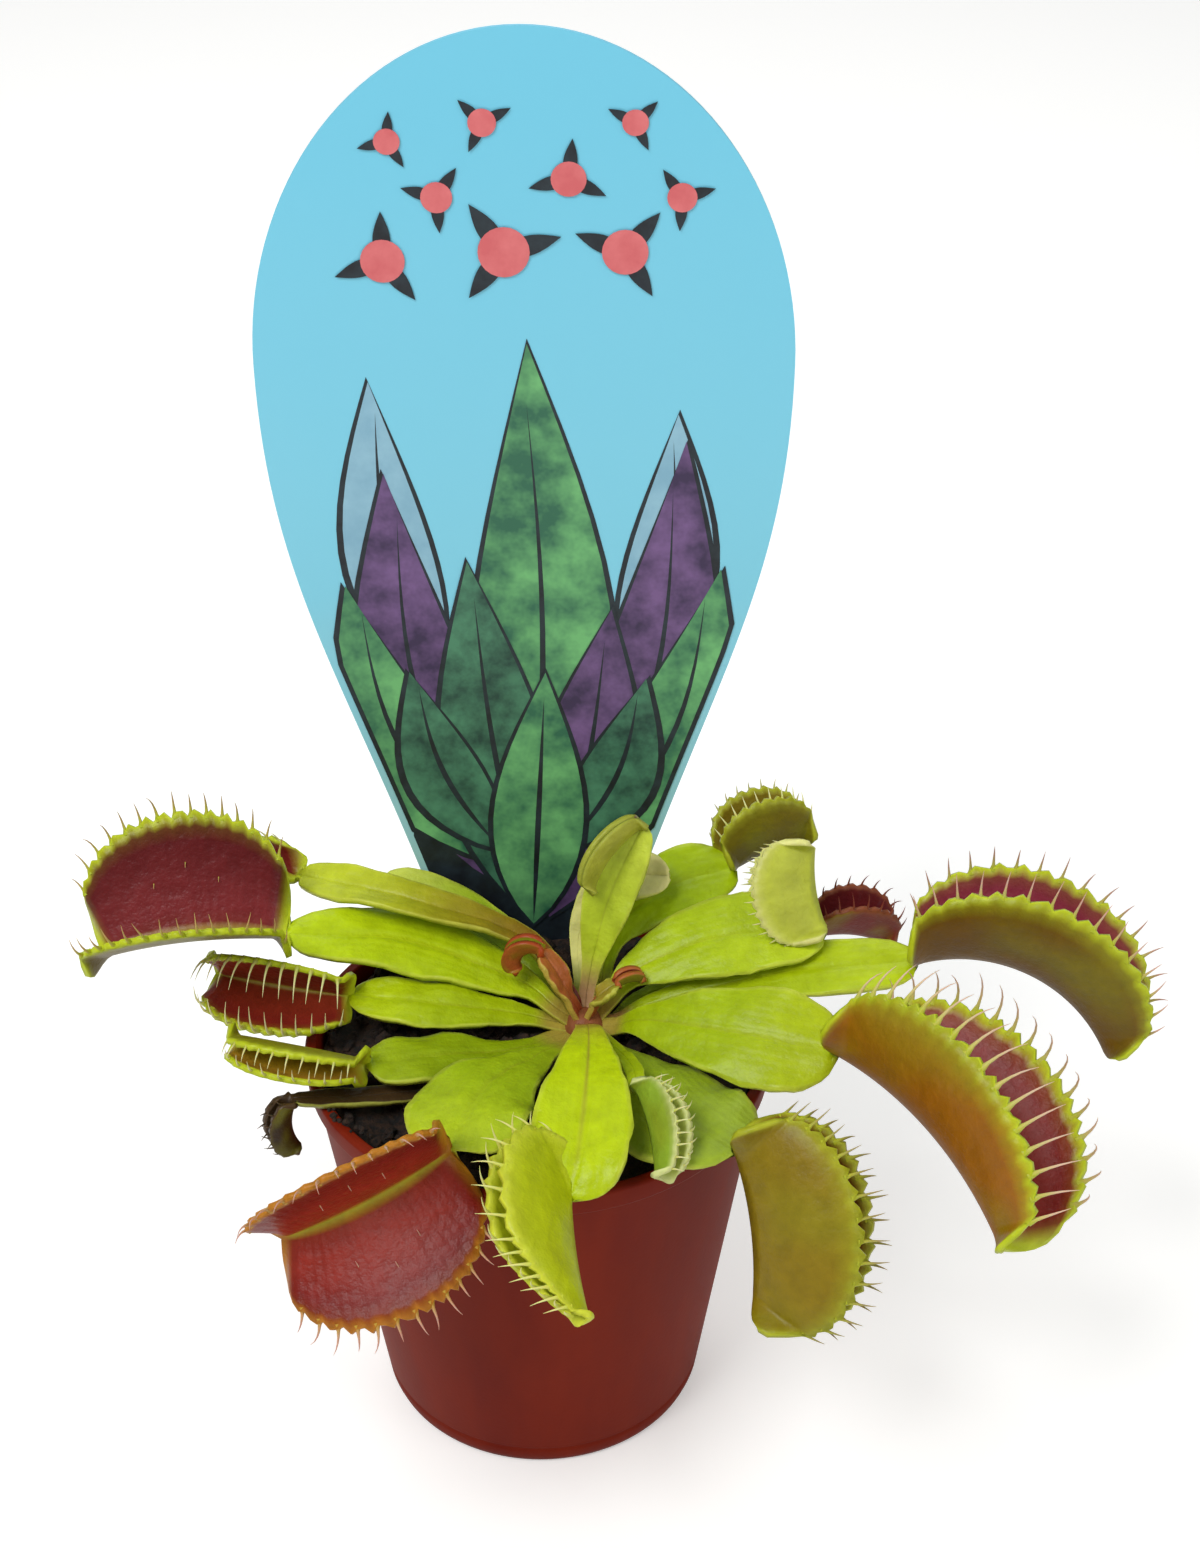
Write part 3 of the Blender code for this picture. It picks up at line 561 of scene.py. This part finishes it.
def leafRows(plan):
    # every row of the leaf: its points, tints and the distance that sets its veins
    centre, reach = crownSeat["centre"], crownSeat["reach"]
    points = [centre + reach * heading(*plan["seat"])] + [Vector(p) for p in plan["route"]]
    columns = [k / leafMake["halfColumns"] for k in
               range(-leafMake["halfColumns"], leafMake["halfColumns"] + 1)]
    rows = []
    for row in range(leafMake["bladeRows"] + 1):
        share = 1 - (1 - row / leafMake["bladeRows"]) ** 1.25
        half = bladeHalfWidth(share, plan)
        rows.append([(bladePoint(points, plan, share, t), *bladeTints(plan, share, t),
                      abs(t) * half) for t in columns])
    rows = [[(place - (points[0] - centre) * back, *rest) for place, *rest in rows[0]]
            for back in leafMake["petiole"]] + rows
    trap = plan.get("trap")
    if not trap:
        return rows
    base = Vector(plan["route"][-1])
    teeth = len(toothShares(trap))
    start, run = leafMake["toothRun"]
    for share in trapShares(trap):
        ripple = cos(2 * pi * teeth * (share - start) / run) if teeth else 0
        cells = []
        for t in columns:
            wave = 1 - 0.035 * ripple * abs(t) ** 6
            place = trapPoint(base, trap, share, t * wave)
            cells.append((place, *trapTints(plan, share, t), share * trap["long"]))
        rows.append(cells)
    return rows


def sheetMesh(name, rows):
    bm = bmesh.new()
    deep, wide = len(rows) - 1, len(rows[0]) - 1
    bmesh.ops.create_grid(bm, x_segments=deep, y_segments=wide, size=1)
    layers = [bm.verts.layers.float_color.new(key) for key in ("upperTint", "underTint")]
    line = bm.verts.layers.float.new("veinLine")
    for vert in bm.verts:
        row = round((vert.co.x + 1) / 2 * deep)
        column = round((vert.co.y + 1) / 2 * wide)
        place, upper, under, across = rows[row][column]
        vert.co = place * mm
        vert[layers[0]] = upper
        vert[layers[1]] = under
        vert[line] = across
    for face in bm.faces:
        face.smooth = True
        face.normal_flip()
    mesh = bpy.data.meshes.new(name)
    bm.to_mesh(mesh)
    bm.free()
    return mesh


def showPiece(name, data, nodes, materials):
    obj = bpy.data.objects.new(name, data)
    for material in materials:
        data.materials.append(material)
    bpy.context.scene.collection.objects.link(obj)
    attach(obj, "root")
    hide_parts(*nodes)
    return obj


def toothCurve(curve, points, radii):
    spline = curve.splines.new("POLY")
    spline.points.add(len(points) - 1)
    for knot, place, radius in zip(spline.points, points, radii):
        knot.co = (*(place * mm), 1)
        knot.radius = radius


def teethOf(name, plan, material):
    # the teeth are tapered and lean over the mouth, and an open trap has three hairs in each lobe
    trap = plan["trap"]
    base = Vector(plan["route"][-1])
    curve = bpy.data.curves.new(name + "_teeth", "CURVE")
    curve.dimensions = "3D"
    curve.bevel_depth = leafMake["toothRadius"] * mm
    curve.bevel_resolution = 1
    curve.use_fill_caps = True
    random.seed(name)
    shares = toothShares(trap)
    sway, rooted = leafMake["toothSway"], leafMake["rooted"]
    for across in (-1, 1):
        for share in shares:
            share += (0.25 / len(shares)) * across
            margin = trapPoint(base, trap, share, across)
            inside = trapPoint(base, trap, share, across * 0.85)
            other = trapPoint(base, trap, share, -across)
            way = (margin - inside).normalized()
            inward = (other - margin).normalized()
            stray = Vector([random.uniform(-sway, sway) for _ in range(3)])
            middle = 1 - abs(2 * share - 1) ** 3
            reach = trap["reach"] * (0.62 + 0.38 * middle) * random.uniform(0.85, 1.0)
            lean = trap.get("lean", leafMake["toothLean"])
            places, radii = [], []
            for step in range(6):
                t = step / 5
                bend = way + (lean * 1.3 * t) * inward + stray * t
                places.append(margin - way * rooted + bend.normalized() * (reach + rooted) * t)
                flare = max(0, 1 - t / 0.22)
                radii.append((flare + 0.8 * (1 - t) + 0.08) * min(1, 0.55 + trap["reach"] / 9))
            toothCurve(curve, places, radii)
        if trap["gape"] > 60 and trap["deep"] > 10:
            for share, reach in leafMake["hairs"]:
                root = trapPoint(base, trap, share, across * reach)
                over = trapPoint(base, trap, share, -across * reach)
                tip = root + (over - root).normalized() * leafMake["hairLength"]
                toothCurve(curve, [root, (root + tip) / 2, tip], leafMake["hairRadii"])
    return showPiece(name + "_teeth", curve, [name], [material])


toothLook = {
    # root and tip of the teeth
    "leaf_front_left": ("#C09A3C", "#D0A08C"), "leaf_right": ("#B8BC3C", "#E2C0A4"),
    "leaf_far_right": ("#AEB42A", "#C9A08C"), "leaf_left": ("#AEBA20", "#BCA060"),
    "leaf_front": ("#C6CC3C", "#E4E290"), "leaf_front_right": ("#B4B82C", "#A89A60"),
    "leaf_dead": ("#3A2A16", "#4A3A22"), "leaf_back_low": ("#8A4A2A", "#7A3A2A"),
    "usual": ("#BCC234", "#E0DCA0"),
}


def makeLeaves():
    upper = leafTissue("leaf_cuticle_upper", "upperTint", 0.38, 0.035, 0.012, 0.12)
    under = leafTissue("leaf_cuticle_under", "underTint", 0.44, 0.015, 0.008, 0.12)
    for name, plan in leaves.items():
        obj = showPiece(name + "_sheet", sheetMesh(name + "_sheet", leafRows(plan)),
                        [name], [upper, under])
        skin = obj.modifiers.new("thickness", "SOLIDIFY")
        skin.thickness = leafMake["thickness"] * mm
        skin.offset = 0
        skin.material_offset = 1
        if plan.get("trap", {}).get("teeth"):
            root, tip = toothLook.get(name, toothLook["usual"])
            teethOf(name, plan, toothTissue(name + "_tooth_tissue", root, tip))
    print("leaves made:", len(leaves))


potMake = {
    # mm, but for the counts
    "wall": 0.9, "lip": 3.0, "lipStep": 0.5, "baseRadius": 19.7, "rings": (10, 20, 30, 40),
    "groove": (3.2, 2.9, 2.5, 2.2), "grooveDepth": 0.16, "segments": 128,
    "holes": 6, "holeRadius": 2.2, "holeRing": 12.5, "holeSegments": 32,
}


def turned(name, profile, segments):
    bm = bmesh.new()
    verts = [bm.verts.new((radius * mm, 0, height * mm)) for radius, height in profile]
    edges = [bm.edges.new(pair) for pair in zip(verts, verts[1:])]
    bmesh.ops.spin(bm, geom=verts + edges, axis=(0, 0, 1), cent=(0, 0, 0), angle=2 * pi,
                   steps=segments, use_merge=True)
    bmesh.ops.remove_doubles(bm, verts=bm.verts, dist=0.001 * mm)
    bmesh.ops.recalc_face_normals(bm, faces=bm.faces)
    for face in bm.faces:
        face.smooth = True
    mesh = bpy.data.meshes.new(name)
    bm.to_mesh(mesh)
    bm.free()
    return mesh


def makePot():
    low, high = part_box("pot")
    height = (high.z - low.z) / mm
    topRadius = (high.x - low.x) / 2 / mm
    wall, lipStep, foot = potMake["wall"], potMake["lipStep"], potMake["baseRadius"]

    def outside(z):
        return foot + (topRadius - lipStep - foot) * z / height

    lip = height - potMake["lip"]
    profile = [(0, wall), (outside(wall) - wall - 0.6, wall), (outside(wall) - wall, wall + 0.6)]
    profile += [(outside(z) - wall, z) for z in (*potMake["rings"], height - 0.4)]
    profile += [(outside(height) - wall + 0.1, height - 0.12), (outside(height) - wall + 0.3, height),
                (topRadius - 0.45, height), (topRadius - 0.12, height - 0.14),
                (topRadius, height - 0.45), (topRadius - 0.18, lip + 0.4),
                (topRadius - 0.3, lip + 0.12), (outside(lip) + 0.05, lip)]
    grooveTop, *grooveFloor, grooveFoot = potMake["groove"]
    profile += [(outside(z), z) for z in (lip - 0.15, *reversed(potMake["rings"]), grooveTop)]
    profile += [(outside(z) - potMake["grooveDepth"], z) for z in grooveFloor]
    profile += [(outside(grooveFoot), grooveFoot), (outside(1.2), 1.2), (outside(0.5) - 0.2, 0.4),
                (outside(0) - 0.8, 0), (0, 0)]
    obj = showPiece("moulded_pot", turned("moulded_pot", profile, potMake["segments"]),
                    ["pot"], [mouldedPlastic()])
    bm = bmesh.new()
    for hole in range(potMake["holes"]):
        angle = 2 * pi * hole / potMake["holes"]
        place = Vector((cos(angle), sin(angle), 0)) * potMake["holeRing"] * mm
        bmesh.ops.create_cone(bm, cap_ends=True, segments=potMake["holeSegments"],
                              radius1=potMake["holeRadius"] * mm,
                              radius2=potMake["holeRadius"] * mm, depth=4 * mm,
                              matrix=Matrix.Translation(place))
    mesh = bpy.data.meshes.new("drain_hole_cutters")
    bm.to_mesh(mesh)
    bm.free()
    cutters = bpy.data.objects.new("drain_hole_cutters", mesh)
    bpy.context.scene.collection.objects.link(cutters)
    cut = obj.modifiers.new("drain_holes", "BOOLEAN")
    cut.object = cutters
    graph = bpy.context.evaluated_depsgraph_get()
    holed = bpy.data.meshes.new_from_object(obj.evaluated_get(graph))
    obj.modifiers.clear()
    obj.data = holed
    bpy.data.objects.remove(cutters)
    obj.modifiers.new("edges", "WEIGHTED_NORMAL").keep_sharp = True
    print("pot made")


soilMake = {
    "crumbs": 900, "smallest": 0.35, "largest": 1.15,  # mm
    "ground": 49.0, "lump": 0.5, "dish": 1.3,          # mm: height, lumps and the crown's dish
    "dark": "#0D0907", "light": "#4A2E1B",
    "rimCrumbs": 60, "rimHeight": 51, "rimRadius": (25.2, 27.2), "rimSize": (0.2, 0.6),
    "rimAt": ((268, 5), (207, 9)),  # degrees: where spilt crumbs lie and how far they spread
}


def peatHeight(x, y):
    lumps = sin(0.55 * x + 1.3) * cos(0.47 * y - 0.4) + 0.6 * sin(1.15 * x - 0.9 * y)
    centre = crownSeat["centre"]
    dish = soilMake["dish"] / (1 + (hypot(x - centre.x, y - centre.y) / 7) ** 4)
    return soilMake["ground"] + soilMake["lump"] * lumps + 0.02 * y - dish


def makeSoil():
    material = peat("milled_peat", soilMake["dark"], soilMake["light"])
    soil = bpy.data.objects["soil"]
    soil.data.materials.clear()
    soil.data.materials.append(material)
    random.seed(11)
    rim = (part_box("soil")[1].x) / mm
    bm = bmesh.new()
    for crumb in range(soilMake["crumbs"]):
        angle, share = random.uniform(0, 2 * pi), sqrt(random.random())
        radius = share * (rim - 0.5)
        x, y = radius * cos(angle), radius * sin(angle)
        size = random.uniform(soilMake["smallest"], soilMake["largest"]) ** 1.4
        made = bmesh.ops.create_icosphere(bm, subdivisions=1, radius=size * mm)["verts"]
        turn = Quaternion(Vector([random.uniform(-1, 1) for _ in range(3)]).normalized(),
                          random.uniform(0, pi)).to_matrix()
        for vert in made:
            rough = 1 + 0.5 * noise.noise(vert.co / mm * 1.7 + Vector((crumb, 0, 0)))
            vert.co = turn @ Vector((vert.co.x * 1.35, vert.co.y, vert.co.z * 0.75)) * rough
            vert.co += Vector((x, y, peatHeight(x, y) + size * 0.3)) * mm
    for crumb in range(soilMake["rimCrumbs"]):
        angle = radians(random.choice([random.gauss(*where) for where in soilMake["rimAt"]]))
        radius = random.uniform(*soilMake["rimRadius"])
        size = random.uniform(*soilMake["rimSize"])
        made = bmesh.ops.create_icosphere(bm, subdivisions=1, radius=size * mm)["verts"]
        for vert in made:
            vert.co *= 1 + 0.5 * noise.noise(vert.co / mm * 3 + Vector((crumb, 5, 0)))
            vert.co += Vector((radius * cos(angle), radius * sin(angle),
                               soilMake["rimHeight"] + size * 0.5)) * mm
    mesh = bpy.data.meshes.new("peat_crumbs")
    bm.to_mesh(mesh)
    bm.free()
    obj = bpy.data.objects.new("peat_crumbs", mesh)
    mesh.materials.append(material)
    bpy.context.scene.collection.objects.link(obj)
    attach(obj, "root")
    print("soil made")


def makeCrown():
    rind = leafTissue("crown_rind", "upperTint", 0.5, 0.05, 0.05, 0.04)
    bm = bmesh.new()
    bmesh.ops.create_icosphere(bm, subdivisions=4, radius=crownSeat["radius"] * mm)
    layers = [bm.verts.layers.float_color.new(key) for key in ("upperTint", "underTint")]
    line = bm.verts.layers.float.new("veinLine")
    for vert in bm.verts:
        vert.co += vert.co.normalized() * 0.12 * mm * noise.noise(vert.co / mm)
        vert[layers[0]] = vert[layers[1]] = linear(crownSeat["colour"])
        vert[line] = vert.co.x / mm
        vert.co += crownSeat["centre"] * mm
    for face in bm.faces:
        face.smooth = True
    mesh = bpy.data.meshes.new("crown_stem")
    bm.to_mesh(mesh)
    bm.free()
    showPiece("crown_stem", mesh, ["crown"], [rind])
    print("crown made")


labelMake = {
    # mm, and the lean in degrees
    "halfWidth": 29.7, "cap": 37.0, "tail": 76.0, "neck": 11.0, "stake": 22.0, "thickness": 0.6,
    "lean": 2.0, "foot": Vector((-1.0, 22.0, 50.0)), "curveSteps": 32,
}


def labelEdge():
    half, tail, neck = labelMake["halfWidth"], labelMake["tail"], labelMake["neck"]
    steps = labelMake["curveSteps"]
    points = []
    for step in range(steps + 1):
        angle = pi / 2 * step / steps
        points.append((half * sin(angle), labelMake["cap"] * cos(angle)))
    knots = [Vector((half, 0)), Vector((half, -0.36 * tail)), Vector((0.72 * half, -0.52 * tail)),
             Vector((neck, -tail))]
    for step in range(1, steps + 1):
        t = step / steps
        a, b, c, d = knots
        point = (1 - t)**3 * a + 3 * (1 - t)**2 * t * b + 3 * (1 - t) * t**2 * c + t**3 * d
        points.append(tuple(point))
    return points + [(2.0, -tail - labelMake["stake"] + 1.5), (0.8, -tail - labelMake["stake"])]


def labelMatrix():
    rise = Matrix.Translation(labelMake["foot"] * mm)
    lean = Matrix.Rotation(-radians(labelMake["lean"]), 4, "X")
    return rise @ lean @ Matrix.Rotation(pi / 2, 4, "X") @ Matrix.Translation(
        Vector((0, labelMake["tail"], 0)) * mm)


def flatShape(bm, loop, height, materialIndex):
    # one flat printed shape on the label's face
    verts = [bm.verts.new((x * mm, y * mm, height * mm)) for x, y in loop]
    edges = [bm.edges.new((a, b)) for a, b in zip(verts, verts[1:] + verts[:1])]
    filled = bmesh.ops.triangle_fill(bm, edges=edges, use_beauty=True, normal=(0, 0, 1))["geom"]
    for face in [f for f in filled if isinstance(f, bmesh.types.BMFace)]:
        face.material_index = materialIndex
        if face.normal.z < 0:
            face.normal_flip()


def leafOutline(x, y, length, width, turn, bow):
    # a pointed leaf drawn from its foot, bowed to one side
    loop = []
    for side in (1, -1):
        steps = range(0, 15) if side == 1 else range(13, 0, -1)
        for step in steps:
            t = step / 14
            across = side * width / 2 * sin(pi * t ** 0.8) + bow * sin(pi * t)
            along = length * t
            loop.append((x + along * sin(turn) + across * cos(turn),
                         y + along * cos(turn) - across * sin(turn)))
    return loop


labelInks = {
    # pale tone, deep tone and the size of a brushed patch in mm
    "outline": ("#26323A", "#161B22", 3), "leaf_green": ("#74BE78", "#2F6A50", 7),
    "plum": ("#7A5A8E", "#3A2A4E", 6), "deep_green": ("#4E8A6A", "#22463C", 5),
    "coral": ("#E4787A", "#D8666A", 4), "mist_blue": ("#98C6DA", "#84B4CC", 6),
}
labelLeaves = [
    # foot x, foot y, length, width in mm, turn in degrees, bow in mm, ink
    # the first, a broad dark patch at the label's foot behind the crown, is partly print and partly
    # painted shade for the dark gaps between the leaves
    (0, -80, 36, 30, 0, 0, "outline"),
    (-11, -42, 40, 10, -9, -2, "mist_blue"), (12, -42, 36, 10, 8, 2, "mist_blue"),
    (-1, -72, 74, 17, 1, 2, "leaf_green"), (-3, -70, 58, 14, -13, -4, "plum"),
    (4, -70, 62, 14, 13, 4, "plum"), (-4, -66, 42, 12, -24, -4, "leaf_green"),
    (5, -66, 44, 12, 23, 4, "leaf_green"), (0, -74, 50, 13, -8, -1, "deep_green"),
    (2, -74, 44, 13, 10, 1, "plum"), (-4, -64, 27, 9, -22, -2, "deep_green"),
    (4, -64, 26, 9, 22, 2, "deep_green"), (0, -75, 36, 11, 3, 0, "leaf_green"),
]
# centre x, centre y and radius in mm
labelBerries = [(-15, 12, 2.4), (-9, 19, 1.7), (-2, 13, 2.8), (5, 21, 1.9), (11, 13, 2.5),
                (17, 19, 1.6), (-4, 27, 1.5), (12, 27, 1.4), (-14, 25, 1.4)]


def labelHalfWidth(y):
    # half the width of the label at a height
    edge = labelEdge()
    for (x0, y0), (x1, y1) in zip(edge, edge[1:]):
        if y1 <= y <= y0:
            return x0 + (x1 - x0) * (y0 - y) / max(y0 - y1, 1e-6)
    return 0.0


def printed(loop, margin=0.9):
    # keeps a printed shape inside the label's edge
    return [(max(min(x, labelHalfWidth(y) - margin), margin - labelHalfWidth(y)), y)
            for x, y in loop]


def makeLabel():
    low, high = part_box("plant_label")
    bm = bmesh.new()
    right = [p for p in labelEdge() if p[0] > 1e-6]
    loop = [(0, labelMake["cap"])] + right + [(-x, y) for x, y in reversed(right)]
    verts = [bm.verts.new((x * mm, y * mm, -labelMake["thickness"] / 2 * mm)) for x, y in loop]
    face = bm.faces.new(verts)
    top = bmesh.ops.extrude_face_region(bm, geom=[face])["geom"]
    bmesh.ops.translate(bm, verts=[v for v in top if isinstance(v, bmesh.types.BMVert)],
                        vec=(0, 0, labelMake["thickness"] * mm))
    bmesh.ops.recalc_face_normals(bm, faces=bm.faces)
    mesh = bpy.data.meshes.new("label_sheet")
    bm.to_mesh(mesh)
    bm.free()
    mesh.transform(labelMatrix())
    showPiece("label_sheet", mesh, ["plant_label"],
              [printedSheet(low.z + 22 * mm, high.z)])
    inks = [printInk("ink_" + name, *tones) for name, tones in labelInks.items()]
    inkOrder = list(labelInks)
    outline, coral = inkOrder.index("outline"), inkOrder.index("coral")
    bm = bmesh.new()
    level = labelMake["thickness"] / 2 + 0.02
    for x, y, length, width, turn, bow, ink in labelLeaves:
        turn = radians(turn)
        outer = printed(leafOutline(x, y, length + 1.2, width + 1.4, turn, bow))
        inner = printed(leafOutline(x, y + 0.6, length, width, turn, bow), 1.5)
        midrib = printed(leafOutline(x, y + 1, length * 0.9, 0.7, turn, bow))
        flatShape(bm, outer, level, outline)
        flatShape(bm, inner, level + 0.004, inkOrder.index(ink))
        flatShape(bm, midrib, level + 0.008, outline)
        level += 0.012
    for x, y, radius in labelBerries:
        for turn in (-2.3, -0.4, 1.5):
            sprig = leafOutline(x, y, radius * 2.3, radius * 0.8, turn + x * 0.1, 0)
            flatShape(bm, sprig, level, outline)
        ring = [(x + radius * cos(2 * pi * k / 24), y + radius * sin(2 * pi * k / 24))
                for k in range(24)]
        flatShape(bm, ring, level + 0.004, coral)
    mesh = bpy.data.meshes.new("label_print")
    bm.to_mesh(mesh)
    bm.free()
    mesh.transform(labelMatrix())
    showPiece("label_print", mesh, ["plant_label"], inks)
    print("label made")


stageMake = {
    # metres, degrees and watts
    "camera": Vector((0.0073, -0.2287, 0.2403)), "pitch": 33.6, "lens": 58.1,
    "worldLight": 0.32, "floorHalf": 1.5, "floorLift": 0.3, "floorColour": "#F4F4F2",
    "aim": Vector((0, 0, 0.06)),
    "lamps": [  # place, size and power
        (Vector((-0.4, -0.4, 0.85)), 0.5, 5.9),
        (Vector((0.6, -0.35, 0.5)), 0.6, 1.6),
        (Vector((0.0, 0.5, 0.7)), 0.6, 1.4),
    ],
}


def makeStage():
    scene = bpy.context.scene
    camera = bpy.data.cameras.new("camera")
    camera.lens, camera.sensor_width = stageMake["lens"], 36
    camera.clip_start = 0.01
    eye = bpy.data.objects.new("camera", camera)
    eye.location = stageMake["camera"]
    eye.rotation_euler = (pi / 2 - radians(stageMake["pitch"]), 0, 0)
    scene.collection.objects.link(eye)
    scene.camera = eye
    for k, (place, size, power) in enumerate(stageMake["lamps"]):
        lamp = bpy.data.lights.new(f"softbox_{k}", "AREA")
        lamp.shape, lamp.size, lamp.energy = "DISK", size, power
        box = bpy.data.objects.new(f"softbox_{k}", lamp)
        box.location = place
        box.rotation_euler = (stageMake["aim"] - place).to_track_quat("-Z", "Y").to_euler()
        scene.collection.objects.link(box)
    world = bpy.data.worlds.new("studio")
    world.use_nodes = True
    scene.world = world
    tree = world.node_tree
    back = tree.nodes["Background"]
    back.inputs["Color"].default_value = (1, 1, 1, 1)
    path = add(tree, "ShaderNodeLightPath")
    seen = add(tree, "ShaderNodeMath", {0: path.outputs["Is Camera Ray"],
                                        1: path.outputs["Is Transmission Ray"]}, operation="MAXIMUM")
    strength = add(tree, "ShaderNodeMapRange", {"Value": seen.outputs[0], "To Max": 1.0,
                                                "To Min": stageMake["worldLight"]})
    tree.links.new(strength.outputs[0], back.inputs["Strength"])
    bm = bmesh.new()
    bmesh.ops.create_grid(bm, x_segments=1, y_segments=1, size=stageMake["floorHalf"])
    mesh = bpy.data.meshes.new("floor")
    bm.to_mesh(mesh)
    bm.free()
    floor = bpy.data.objects.new("floor", mesh)
    scene.collection.objects.link(floor)
    # uncoated white card: matt and even, lifted a little so that it meets the backdrop unseen
    material, tree, shader = newMaterial("white_card")
    shader.inputs["Base Color"].default_value = linear(stageMake["floorColour"])
    shader.inputs["Roughness"].default_value = 0.9
    rays = add(tree, "ShaderNodeLightPath")
    lift = add(tree, "ShaderNodeMath", {0: rays.outputs["Is Camera Ray"], 1: stageMake["floorLift"]},
               operation="MULTIPLY")
    shader.inputs["Emission Color"].default_value = (1, 1, 1, 1)
    tree.links.new(lift.outputs[0], shader.inputs["Emission Strength"])
    mesh.materials.append(material)
    scene.view_settings.view_transform = "Standard"
    print("stage made")


makeStage()
makePot()
makeSoil()
makeCrown()
makeLabel()
makeLeaves()
